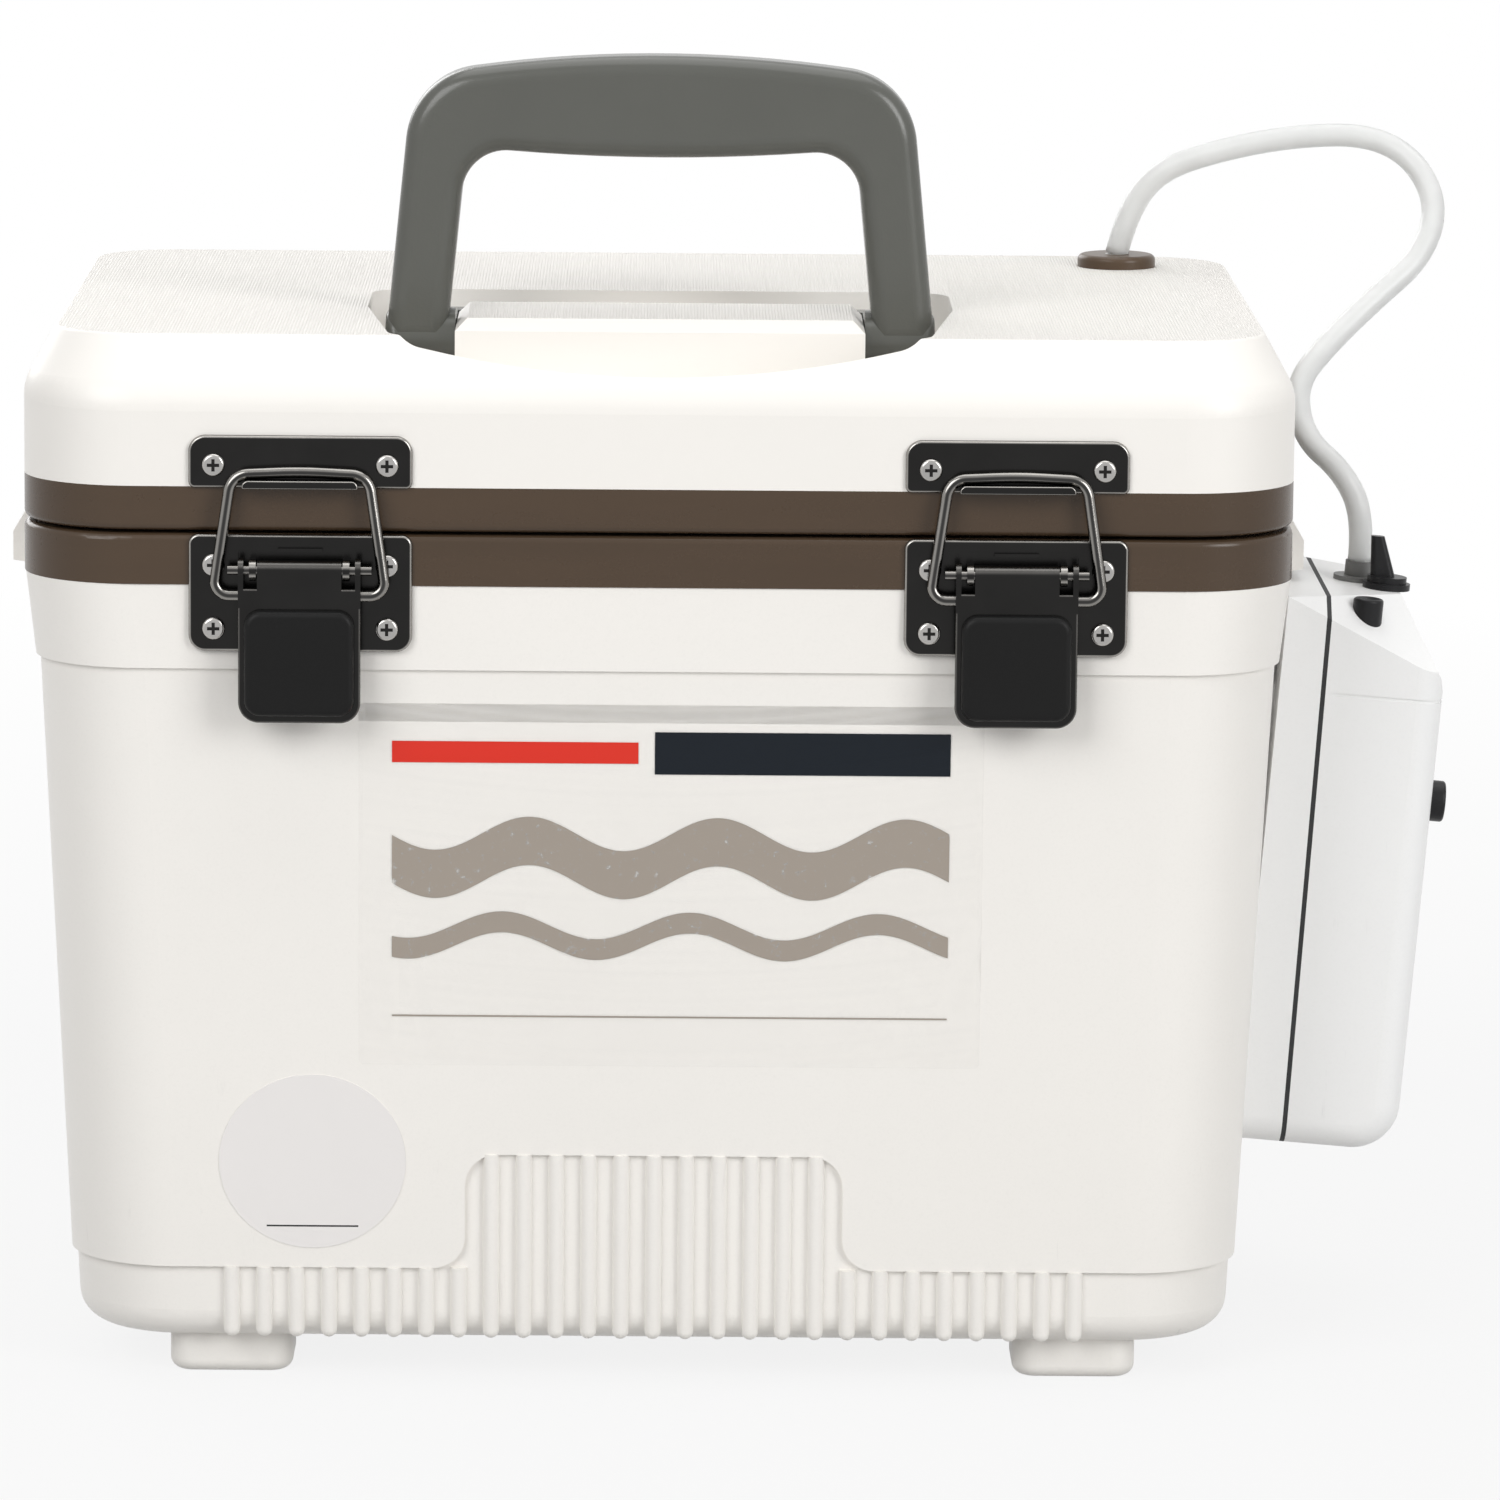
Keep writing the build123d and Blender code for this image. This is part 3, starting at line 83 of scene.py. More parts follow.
class BucketColours(bpy.types.PropertyGroup):
    shell: colour("Shell", "Warm white of the tub's and lid's outer shells", (0.865, 0.840, 0.800))
    band: colour("Rim bands", "Taupe of the two rim bands and the grommet", (0.066, 0.042, 0.025))
    liner: colour("Liner", "White of the inner tub and the lid's lining", (0.85, 0.85, 0.83))
    handle: colour("Handle", "Grey of the carry handle", (0.098, 0.100, 0.089))
    latch: colour("Latches", "Black nickel of the draw latches", (0.024, 0.0235, 0.023))
    wire: colour("Bail wire", "Brighter nickel of the wire bails", (0.045, 0.044, 0.043))
    screw: colour("Screws", "Chrome of the screws", (0.40, 0.39, 0.38))
    grip: colour("Lever pads", "Black of the moulded lever pads", (0.007, 0.007, 0.007))
    pump: colour("Pump shells", "Cooler white of the air pump", (0.895, 0.895, 0.89))
    seal: colour("Seals", "Charcoal of the pump's seam and the lid's gasket", (0.028, 0.028, 0.029))
    tube: colour("Air tube", "Milky silicone of the air tube", (0.90, 0.905, 0.895))
    print_taupe: colour("Label waves", "Taupe ink on the clear label", (0.36, 0.315, 0.27))
    print_dark: colour("Label bar", "Dark ink on the clear label", (0.006, 0.010, 0.016))
    print_red: colour("Label stripe", "Red ink on the clear label", (0.72, 0.035, 0.02))


class AirLineSizes(bpy.types.PropertyGroup):
    diameter: length("Diameter", "Outer diameter of the air tube", mm(6.0))
    bore: length("Bore", "Inner diameter of the air tube", mm(3.8))
    sides: IntProperty(name="Sides", description="Facets round the air tube", min=8, default=28)


class StudioSettings(bpy.types.PropertyGroup):
    key_power: FloatProperty(name="Key", description="Power of the main softbox", unit="POWER",
                             min=0, default=29.5)
    fill_power: FloatProperty(name="Fill", description="Power of the softbox on the pump's side",
                              unit="POWER", min=0, default=30.0)
    top_power: FloatProperty(name="Top", description="Power of the overhead softbox", unit="POWER",
                             min=0, default=17.0)
    rear_power: FloatProperty(name="Rear", description="Power of the softbox behind the bucket",
                              unit="POWER", min=0, default=20.0)
    surround: FloatProperty(name="Surround", description="Strength of the white surround",
                            min=0, default=0.28)
    floor: colour("Floor", "Pale studio floor", (0.55, 0.55, 0.55))


# ---- Shader maths ------------------------------------------------------------------------
class Wire:
    """An output socket that takes part in Python arithmetic; each operation adds a Math node."""

    def __init__(self, graph, socket):
        self.graph = graph
        self.socket = socket

    def math(self, operation, *values):
        inputs = dict(enumerate(values))
        return self.graph.node("ShaderNodeMath", {"operation": operation}, inputs)

    def __add__(self, other):
        return self.math("ADD", self, other)

    def __radd__(self, other):
        return self.math("ADD", other, self)

    def __sub__(self, other):
        return self.math("SUBTRACT", self, other)

    def __rsub__(self, other):
        return self.math("SUBTRACT", other, self)

    def __mul__(self, other):
        return self.math("MULTIPLY", self, other)

    def __rmul__(self, other):
        return self.math("MULTIPLY", other, self)

    def __truediv__(self, other):
        return self.math("DIVIDE", self, other)

    def __abs__(self):
        return self.math("ABSOLUTE", self)

    def __gt__(self, other):
        return self.math("GREATER_THAN", self, other)

    def __lt__(self, other):
        return self.math("LESS_THAN", self, other)

    def larger(self, other):
        return self.math("MAXIMUM", self, other)

    def sine(self):
        return self.math("SINE", self)

    def root(self):
        return self.math("SQRT", self)

    def clamp(self):
        return self.math("MINIMUM", self.math("MAXIMUM", self, 0.0), 1.0)


class Graph:
    """The node tree of a material or a world, under construction."""
    output_kind = ""

    def __init__(self, owner):
        owner.use_nodes = True
        self.owner = owner
        self.tree = owner.node_tree
        self.tree.nodes.clear()

    def node(self, kind, settings=None, inputs=None, output=0):
        """A node with its settings made first, then the values or wires of its inputs."""
        node = self.tree.nodes.new(kind)
        for name, value in (settings or {}).items():
            if name == "stops":
                self.set_stops(node.color_ramp, value)
            else:
                setattr(node, name, value)
        for name, value in (inputs or {}).items():
            self.plug(node.inputs[name], value)
        return Wire(self, node.outputs[output])

    def plug(self, socket, value):
        if isinstance(value, Wire):
            self.tree.links.new(value.socket, socket)
        elif socket.type == "RGBA" and len(value) == 3:
            socket.default_value = (*value, 1)
        else:
            socket.default_value = value

    @staticmethod
    def set_stops(ramp, stops):
        while len(ramp.elements) < len(stops):
            ramp.elements.new(1.0)
        for element, (place, level) in zip(ramp.elements, stops):
            element.position = place
            element.color = (level, level, level, 1)

    def shown_white(self):
        """1 for the rays that meet a white studio: those of the camera, gloss and glass."""
        camera, glossy, clear = (self.node("ShaderNodeLightPath", output=f"Is {kind} Ray")
                                 for kind in ("Camera", "Glossy", "Transmission"))
        return (camera + glossy + clear).clamp()

    def finish(self, shader):
        """Wires the last shader to the output, and gives back the material or world."""
        output = self.tree.nodes.new(self.output_kind)
        self.tree.links.new(shader.socket, output.inputs["Surface"])
        return self.owner


class Surround(Graph):
    """The world's light, under construction."""
    output_kind = "ShaderNodeOutputWorld"


class Paint(Graph):
    """A material under construction."""
    output_kind = "ShaderNodeOutputMaterial"

    def __init__(self, name):
        super().__init__(bpy.data.materials.new(name))

    def place(self):
        """The point on the surface, in metres in the object's own frame."""
        return self.node("ShaderNodeTexCoord", output="Object")

    def parts(self, vector):
        """X, Y and Z of a vector."""
        split = self.node("ShaderNodeSeparateXYZ", inputs={0: vector}).socket.node
        return [Wire(self, part) for part in split.outputs]

    def axes(self):
        """X, Y and Z of the point on the surface."""
        return self.parts(self.place())

    def facing(self):
        """X, Y and Z of the surface's direction, before any bump."""
        return self.parts(self.node("ShaderNodeTexCoord", output="Normal"))

    def stretched(self, x, y, z):
        """The point on the surface with each axis scaled."""
        return self.node("ShaderNodeVectorMath", {"operation": "MULTIPLY"},
                         {0: self.place(), 1: (x, y, z)})

    def noise(self, scale, detail=2.0, roughness=0.5, at=None):
        """Soft noise, with its scale in cycles a metre."""
        return self.node("ShaderNodeTexNoise", None,
                         {"Vector": at or self.place(), "Scale": scale, "Detail": detail,
                          "Roughness": roughness})

    def cells(self, scale):
        """The distance to the middle of the nearest cell, with the scale in cells a metre."""
        return self.node("ShaderNodeTexVoronoi", None, {"Vector": self.place(), "Scale": scale})

    def ramp(self, value, *stops):
        """A value carried between stops, each a place and a level."""
        return self.node("ShaderNodeValToRGB", {"stops": stops}, {0: value})

    def blend(self, factor, first, second):
        """A colour between two colours."""
        return self.node("ShaderNodeMix", {"data_type": "RGBA"},
                         {0: factor, 6: first, 7: second}, output=2)

    def bump(self, height, strength, distance, onto=None):
        """A normal from a height, laid over another normal if one is given."""
        inputs = {"Height": height, "Strength": strength, "Distance": distance}
        if onto:
            inputs["Normal"] = onto
        return self.node("ShaderNodeBump", None, inputs)

    def surface(self, **inputs):
        """A Principled surface from socket names written with underscores."""
        named = {name.replace("_", " ").title().replace("Ior", "IOR"): value
                 for name, value in inputs.items()}
        return self.node("ShaderNodeBsdfPrincipled", None, named)


def shade(tone, factor):
    """A colour made lighter or darker."""
    return tuple(min(1.0, part * factor) for part in tone)


def dress(material, *names):
    """Gives frame pieces a material in every slot."""
    for name in names:
        mesh = NODES[name].data
        if not mesh.materials:
            mesh.materials.append(material)
        for index in range(len(mesh.materials)):
            mesh.materials[index] = material


# ---- Finishes ----------------------------------------------------------------------------
FOAM_CREAM = (0.72, 0.68, 0.52)
STONE_BLUE = (0.14, 0.20, 0.26)
# The light nickel of the painted highlight on plated rims
EDGE_HIGHLIGHT_NICKEL = (0.52, 0.50, 0.47)
PIN_STEEL = (0.45, 0.45, 0.44)
HINGE_STEEL = (0.52, 0.52, 0.51)
MOTOR_STEEL = (0.55, 0.55, 0.54)
MOULDED_BLACK = (0.014, 0.014, 0.015)
NOZZLE_GREY = (0.20, 0.20, 0.195)
STICKER_WHITES = ((0.79, 0.765, 0.75), (0.82, 0.795, 0.78))
STICKER_INK = (0.02, 0.02, 0.02)
LABEL_FILM = (0.88, 0.87, 0.85)
LABEL_FILM_ALPHA = 0.035
LABEL_INK_ALPHA = 0.98
# The grommet is a little lighter than the bands, and the handle a little darker than its colour
GROMMET_SHADE = 1.15
HANDLE_SHADE = 0.93

# The gloss that the moulded white shells share
WHITE_GLOSS = {"specular_ior_level": 0.42, "coat_weight": 0.06, "coat_roughness": 0.25}
# The lid's hatched deck lies above this height, and its lines are this far apart
DECK_HEIGHT = mm(258.5)
HATCH_PITCH = mm(1.55)
# Flats this far behind a screw's head are the floor of its cross, which gets painted shade
SCREW_CROSS_DEPTH = mm(0.5)


def moulded_white(name, tone, grain, low_scuffs):
    """Moulded white polyethylene with a fine eggshell grain and a few faint scuffs low down."""
    paint = Paint(name)
    height = paint.axes()[2]
    drift = paint.noise(9.0, 3.0)
    speck = paint.noise(1400.0, 2.0)
    base = paint.blend(drift, shade(tone, 0.975), shade(tone, 1.02))
    base = paint.blend((speck - 0.5).clamp() * 0.5, base, shade(tone, 0.86))
    scratch = paint.noise(260.0, 4.0, 0.7, paint.stretched(1.0, 1.0, 0.12))
    scuffs = paint.ramp(scratch, (0.66, 0.0), (0.72, 1.0)) * (1 - height * low_scuffs).clamp()
    base = paint.blend(scuffs * 0.35, base, shade(tone, 0.72))
    rough = 0.36 + 0.10 * drift + 0.12 * scuffs
    swell = paint.noise(38.0, 2.0)
    fine = paint.noise(grain, 3.0, 0.6)
    normal = paint.bump(fine, 0.22, mm(0.06), paint.bump(swell, 0.25, mm(0.6)))
    return paint.finish(paint.surface(base_color=base, roughness=rough, normal=normal,
                                      **WHITE_GLOSS))


def lid_white(tone):
    """The lid's white shell: smooth sides and a finely cross-hatched top, with painted shade in the
    hatch's grooves.
    """
    paint = Paint("lid shell")
    x, y, z = paint.axes()
    up = paint.facing()[2]
    drift = paint.noise(9.0, 3.0)
    deck = paint.ramp(up, (0.93, 0.0), (0.985, 1.0)) * (z > DECK_HEIGHT)
    pitch = 2 * math.pi / HATCH_PITCH
    hatch = ((x + y) * pitch).sine() * ((x - y) * pitch).sine()
    base = paint.blend(drift, shade(tone, 0.975), shade(tone, 1.02))
    # The hatch's grooves are painted a little darker, as painted shade
    base = paint.blend(deck * (0.5 - hatch * 0.5) * 0.16, base, shade(tone, 0.80))
    rough = 0.36 + 0.10 * drift + 0.16 * deck
    swell = paint.bump(paint.noise(34.0, 2.0), 0.25, mm(0.6))
    grain = paint.bump(paint.noise(1500.0, 3.0, 0.6), 0.2, mm(0.06), swell)
    normal = paint.bump(deck * hatch, 0.75, mm(0.22), grain)
    return paint.finish(paint.surface(base_color=base, roughness=rough, normal=normal,
                                      **WHITE_GLOSS))


def rim_gloss(tone):
    """Glossy taupe plastic with faint flow marks and scattered lighter worn patches."""
    paint = Paint("rim band")
    flow = paint.noise(40.0, 4.0, 0.55, paint.stretched(0.3, 0.3, 2.0))
    rub = paint.noise(300.0, 5.0, 0.7)
    base = paint.blend(flow, shade(tone, 0.88), shade(tone, 1.14))
    base = paint.blend(paint.ramp(rub, (0.68, 0.0), (0.76, 1.0)) * 0.4, base, shade(tone, 1.7))
    rough = 0.20 + 0.10 * flow + 0.05 * rub
    swell = paint.bump(paint.noise(60.0, 2.0), 0.22, mm(0.5))
    normal = paint.bump(paint.noise(1800.0, 2.0), 0.10, mm(0.04), swell)
    return paint.finish(paint.surface(base_color=base, roughness=rough, normal=normal,
                                      specular_ior_level=0.28, coat_weight=0.08,
                                      coat_roughness=0.12))


def satin_plastic(name, tone, roughness, grain, depth, sheen=0.3):
    """Satin moulded plastic with a fine spark-eroded grain."""
    paint = Paint(name)
    drift = paint.noise(24.0, 3.0)
    pits = paint.cells(grain)
    base = paint.blend(drift, shade(tone, 0.9), shade(tone, 1.12))
    rough = roughness - 0.05 + 0.12 * drift
    fine = paint.noise(grain * 1.3, 3.0, 0.6)
    normal = paint.bump(pits * 0.6 + fine * 0.4, 0.35, depth)
    return paint.finish(paint.surface(base_color=base, roughness=rough, normal=normal,
                                      specular_ior_level=sheen))


def plated(name, tone, roughness, edge_highlight=0.0, shade_depth=None):
    """Plated metal with polishing lines, tiny pits and cloudy patches.

    Rounded edges get a painted highlight, as bright as the share given, and flats
    deeper than the depth given, such as the floor of a screw's cross, get painted shade.
    """
    paint = Paint(name)
    cloud = paint.noise(70.0, 4.0, 0.6)
    lines = paint.noise(900.0, 3.0, 0.6, paint.stretched(0.06, 1.0, 1.0))
    pits = paint.ramp(paint.cells(650.0), (0.02, 1.0), (0.10, 0.0))
    base = paint.blend(cloud, shade(tone, 0.82), shade(tone, 1.18))
    base = paint.blend(pits * 0.35, base, shade(tone, 0.4))
    # Rounded edges, found from the surface's direction, are painted bright as a highlight
    if edge_highlight:
        flats = [abs(part) for part in paint.facing()]
        flattest = flats[0].larger(flats[1]).larger(flats[2])
        edge = paint.ramp(flattest, (0.90, 1.0), (0.985, 0.0)) * (0.55 + 0.45 * cloud)
        base = paint.blend(edge * edge_highlight, base, EDGE_HIGHLIGHT_NICKEL)
    # Flats behind that depth are painted dark: painted shade in the screw's cross
    if shade_depth is not None:
        behind = (paint.axes()[1] > shade_depth) * (abs(paint.facing()[1]) > 0.9)
        base = paint.blend(behind, base, shade(tone, 0.06))
    rough = roughness + 0.10 * cloud + 0.06 * lines
    normal = paint.bump(lines, 0.12, mm(0.04), paint.bump(pits, 0.2, -mm(0.05)))
    return paint.finish(paint.surface(base_color=base, metallic=1.0, roughness=rough,
                                      normal=normal))


def soft_rubber(name, tone):
    """Matt rubber with a dusty bloom."""
    paint = Paint(name)
    bloom = paint.noise(55.0, 4.0, 0.65)
    base = paint.blend(paint.ramp(bloom, (0.45, 0.0), (0.75, 1.0)) * 0.5, tone, shade(tone, 2.2))
    rough = 0.58 + 0.2 * bloom
    normal = paint.bump(paint.noise(1600.0, 3.0), 0.3, mm(0.06))
    return paint.finish(paint.surface(base_color=base, roughness=rough, normal=normal,
                                      specular_ior_level=0.35))


def milky_silicone(tone):
    """Milky silicone that lets soft light through, with faint bloom along its length."""
    paint = Paint("silicone tube")
    bloom = paint.noise(160.0, 3.0)
    base = paint.blend(bloom, shade(tone, 0.93), shade(tone, 1.05))
    rough = 0.24 + 0.14 * bloom
    normal = paint.bump(paint.noise(700.0, 2.0), 0.08, mm(0.05))
    return paint.finish(paint.surface(base_color=base, roughness=rough, normal=normal, ior=1.41,
                                      transmission_weight=0.36))


def clear_label(colours):
    """A clear film printed with two taupe waves, a dark bar, a red stripe and a fine rule."""
    paint = Paint("front label")
    x, _, z = paint.axes()
    low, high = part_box("front_label")
    across, up = x - (low.x + high.x) / 2, z - (low.z + high.z) / 2
    worn = paint.ramp(paint.noise(420.0, 4.0, 0.7), (0.60, 0.0), (0.66, 1.0))

    # Places on the print are in millimetres from the label's middle
    left, right = -68.0, 68.0
    waves_low, waves_high, pitch = -30.0, 25.0, mm(46.0)

    def block(x0, x1, z0, z1):
        inside = (across > mm(x0)) * (across < mm(x1))
        return inside * (up > mm(z0)) * (up < mm(z1))

    def wave(level, swing, half, shift):
        crest = (across * (2 * math.pi / pitch) + shift).sine() * mm(swing) + mm(level)
        return (abs(up - crest) < mm(half)) * block(left, right, waves_low, waves_high)

    wide = wave(level=7.0, swing=4.2, half=6.0, shift=0.0)
    narrow = wave(level=-12.5, swing=3.4, half=2.6, shift=0.9)
    waves = (wide + narrow).clamp() * (1 - worn * 0.7)
    bar = block(-4.0, right, 28.0, 38.5)
    stripe = block(left, -8.0, 30.6, 35.9)
    rule = block(left, right, -33.0, -32.6)
    ink = (waves + bar + stripe + rule).clamp()
    base = paint.blend(bar, tuple(colours.print_taupe), tuple(colours.print_dark))
    base = paint.blend(stripe, base, tuple(colours.print_red))
    base = paint.blend(ink, LABEL_FILM, base)
    rough = 0.16 + 0.08 * worn
    alpha = LABEL_FILM_ALPHA + ink * (LABEL_INK_ALPHA - LABEL_FILM_ALPHA)
    return paint.finish(paint.surface(base_color=base, roughness=rough, specular_ior_level=0.2,
                                      alpha=alpha))


def oval_sticker():
    """A glossy white oval sticker with a short dark rule near its foot."""
    paint = Paint("oval sticker")
    x, _, z = paint.axes()
    low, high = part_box("capacity_sticker")
    across, up = abs(x - (low.x + high.x) / 2), z - (low.z + high.z) / 2
    rule_half, rule_drop, rule_half_width = mm(11.3), mm(16.4), mm(0.22)
    rule = (across < rule_half) * (abs(up + rule_drop) < rule_half_width)
    drift = paint.noise(30.0, 3.0)
    base = paint.blend(drift, *STICKER_WHITES)
    base = paint.blend(rule, base, STICKER_INK)
    normal = paint.bump(paint.noise(50.0, 2.0), 0.12, mm(0.3))
    return paint.finish(paint.surface(base_color=base, roughness=0.16 + 0.08 * drift,
                                      normal=normal))


def stone_grit(tone):
    """Coarse bonded grit."""
    paint = Paint("air stone")
    grit = paint.cells(900.0)
    base = paint.blend(grit, shade(tone, 0.6), shade(tone, 1.3))
    normal = paint.bump(grit, 0.9, mm(0.4))
    return paint.finish(paint.surface(base_color=base, roughness=0.85 + 0.1 * grit, normal=normal))


# ---- Mesh helpers ------------------------------------------------------------------------
def spline_line(points):
    """Points along a smooth spline that has the given control points."""
    data = bpy.data.curves.new("line", "CURVE")
    data.dimensions = "3D"
    data.resolution_u = 10
    spline = data.splines.new("NURBS")
    spline.points.add(len(points) - 1)
    for target, point in zip(spline.points, points):
        target.co = (*point, 1)
    spline.order_u = 3
    spline.use_endpoint_u = True
    holder = bpy.data.objects.new("line", data)
    bpy.context.scene.collection.objects.link(holder)
    bpy.context.view_layer.update()
    mesh = bpy.data.meshes.new_from_object(holder)
    line = [vertex.co.copy() for vertex in mesh.vertices]
    bpy.data.objects.remove(holder)
    bpy.data.meshes.remove(mesh)
    return line


def join_rings(bm, first, second, flip):
    """A band of quads between two rings of vertices."""
    for k in range(len(first)):
        n = (k + 1) % len(first)
        corners = [first[k], first[n], second[n], second[k]]
        bm.faces.new(corners[::-1] if flip else corners)


def tube_mesh(name, line, outer_radius, inner_radius, sides):
    """A hollow tube along a line, with flat ends."""
    bm = bmesh.new()
    side = Vector((0, 1, 0))
    turns = [2 * math.pi * k / sides for k in range(sides)]
    outer, inner = [], []
    for index, point in enumerate(line):
        before, after = line[max(index - 1, 0)], line[min(index + 1, len(line) - 1)]
        along = (after - before).normalized()
        side = (side - along * side.dot(along)).normalized()
        across = along.cross(side)
        spokes = [side * math.cos(turn) + across * math.sin(turn) for turn in turns]
        for radius, rings in ((outer_radius, outer), (inner_radius, inner)):
            rings.append([bm.verts.new(point + spoke * radius) for spoke in spokes])
    for rings, flip in ((outer, False), (inner, True)):
        for first, second in zip(rings, rings[1:]):
            join_rings(bm, first, second, flip)
    for end, flip in ((0, True), (-1, False)):
        join_rings(bm, outer[end], inner[end], flip)
    bmesh.ops.recalc_face_normals(bm, faces=bm.faces)
    mesh = bpy.data.meshes.new(name)
    bm.to_mesh(mesh)
    bm.free()
    mesh.shade_smooth()
    return mesh


def add_tube(name, line, sizes, material):
    """A piece of the air tube along a line."""
    mesh = tube_mesh(name, line, sizes.diameter / 2, sizes.bore / 2, sizes.sides)
    mesh.materials.append(material)
    piece = bpy.data.objects.new(name, mesh)
    bpy.context.scene.collection.objects.link(piece)
    return piece


# ---- Air line ----------------------------------------------------------------------------
OUTER_ROUTE = (
    mm(160.9, 2.1, 192.7), mm(161.8, 2.1, 203.9), mm(156.5, 3.1, 215.3),
    mm(146.6, 9.4, 223.3), mm(144.9, 18.4, 235.7), mm(153.2, 27.9, 244.5),
    mm(165.4, 35.7, 255.3), mm(179.1, 43.0, 266.3), mm(183.4, 50.9, 279.0),
    mm(177.5, 59.1, 290.5), mm(165.9, 63.5, 296.0), mm(148.1, 66.0, 295.3),
    mm(130.5, 68.2, 291.9), mm(112.5, 71.7, 285.8), mm(104.3, 73.4, 274.4),
    mm(101.6, 73.7, 263.3),
)
INNER_ROUTE = (
    mm(101.6, 73.7, 263.3), mm(101.6, 73.7, 200.0), mm(89.8, 61.9, 138.0),
    mm(78.1, 50.1, 104.0), mm(78.1, 50.1, 70.0),
)


class BUCKET_OT_air_line(bpy.types.Operator):
    """Lay the silicone tube from the pump to the lid and on down to the air stone"""
    bl_idname = "bait_bucket.air_line"
    bl_label = "Air line"

    def execute(self, context):
        sizes, colours = context.scene.bait_air_line, context.scene.bait_colours
        silicone = milky_silicone(tuple(colours.tube))
        outer = spline_line(OUTER_ROUTE)
        tube = add_tube("air_tube_outer", outer, sizes, silicone)
        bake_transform(tube)
        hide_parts("air_tube")
        inner = spline_line(INNER_ROUTE)
        drop = add_tube("air_tube_inner", inner, sizes, silicone)
        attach(drop, "lid")
        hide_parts("drop_tube")
        dress(stone_grit(STONE_BLUE), "air_stone")
        grommet = satin_plastic("grommet", shade(tuple(colours.band), GROMMET_SHADE),
                                roughness=0.30, grain=1400.0, depth=mm(0.06))
        dress(grommet, "tube_grommet")
        return {"FINISHED"}


class BUCKET_OT_tub(bpy.types.Operator):
    """Finish the tub: outer shell, rim band, liner, foam and labels"""
    bl_idname = "bait_bucket.tub"
    bl_label = "Tub"

    def execute(self, context):
        colours = context.scene.bait_colours
        shell = moulded_white("tub shell", tuple(colours.shell), grain=1500.0, low_scuffs=9.0)
        dress(shell, "tub_shell", "tub_base", "tub_feet")
        dress(rim_gloss(tuple(colours.band)), "tub_rim", "lid_rim")
        liner = moulded_white("liner", tuple(colours.liner), grain=900.0, low_scuffs=4.0)
        dress(liner, "tub_liner", "lid_liner")
        dress(soft_rubber("foam", FOAM_CREAM), "tub_foam", "lid_foam")
        dress(clear_label(colours), "front_label")
        dress(oval_sticker(), "capacity_sticker")
        return {"FINISHED"}


class BUCKET_OT_lid(bpy.types.Operator):
    """Finish the lid: shell, gasket, handle and its pins"""
    bl_idname = "bait_bucket.lid"
    bl_label = "Lid and handle"

    def execute(self, context):
        colours = context.scene.bait_colours
        dress(lid_white(tuple(colours.shell)), "lid_shell")
        dress(soft_rubber("gasket", tuple(colours.seal)), "lid_gasket")
        handle = satin_plastic("handle", shade(tuple(colours.handle), HANDLE_SHADE),
                               roughness=0.22, grain=1300.0, depth=mm(0.05), sheen=0.42)
        dress(handle, "handle")
        dress(plated("pin steel", PIN_STEEL, roughness=0.28), "handle_pins")
        return {"FINISHED"}


class BUCKET_OT_latches(bpy.types.Operator):
    """Finish the draw latches, keepers, hinges and screws"""
    bl_idname = "bait_bucket.latches"
    bl_label = "Latches and hinges"

    def execute(self, context):
        colours = context.scene.bait_colours
        # Rims of plates, lever and bails get a painted highlight, least on the lever's barrel
        nickel = plated("black nickel", tuple(colours.latch), roughness=0.16, edge_highlight=0.75)
        lever = plated("lever nickel", tuple(colours.latch), roughness=0.16, edge_highlight=0.2)
        wire = plated("bail wire", tuple(colours.wire), roughness=0.10, edge_highlight=0.55)
        for side in ("left", "right"):
            dress(nickel, f"latch_base_{side}", f"keeper_{side}")
            dress(lever, f"latch_lever_{side}")
            dress(wire, f"latch_bail_{side}", f"latch_pin_{side}")
        pads = satin_plastic("lever pad", tuple(colours.grip), roughness=0.42, grain=1600.0,
                             depth=mm(0.08), sheen=0.15)
        dress(pads, "lever_pad_left", "lever_pad_right")
        for screws in ("latch_base_screws", "keeper_screws"):
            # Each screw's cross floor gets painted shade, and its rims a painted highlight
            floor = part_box(screws)[0].y + SCREW_CROSS_DEPTH
            crossed = plated(screws, tuple(colours.screw), roughness=0.10, edge_highlight=0.5, shade_depth=floor)
            dress(crossed, screws)
        chrome = plated("screw chrome", tuple(colours.screw), roughness=0.12)
        dress(chrome, "hinge_screws_tub", "hinge_screws_lid", "bracket_screws")
        steel = plated("hinge steel", HINGE_STEEL, roughness=0.26)
        dress(steel, "hinge_leaf_tub", "hinge_leaf_lid", "hinge_pins")
        return {"FINISHED"}


class BUCKET_OT_pump(bpy.types.Operator):
    """Finish the battery air pump on the right side"""
    bl_idname = "bait_bucket.pump"
    bl_label = "Air pump"

    def execute(self, context):
        colours = context.scene.bait_colours
        shell = moulded_white("pump shell", tuple(colours.pump), grain=1100.0, low_scuffs=5.0)
        dress(shell, "pump_back_shell", "pump_front_shell", "pump_bracket")
        dress(soft_rubber("pump seam", tuple(colours.seal)), "pump_gasket")
        black = satin_plastic("black plastic", MOULDED_BLACK, roughness=0.34, grain=1500.0,
                              depth=mm(0.08), sheen=0.2)
        dress(black, "speed_lever", "pump_plug", "release_button", "pump_head")
        nozzle = satin_plastic("nozzle", NOZZLE_GREY, roughness=0.45, grain=1400.0,
                               depth=mm(0.08))
        dress(nozzle, "pump_nozzle", "pump_chassis")
        steel = plated("motor can", MOTOR_STEEL, roughness=0.3)
        dress(steel, "pump_motor", "battery_contacts", "battery_cells")
        return {"FINISHED"}


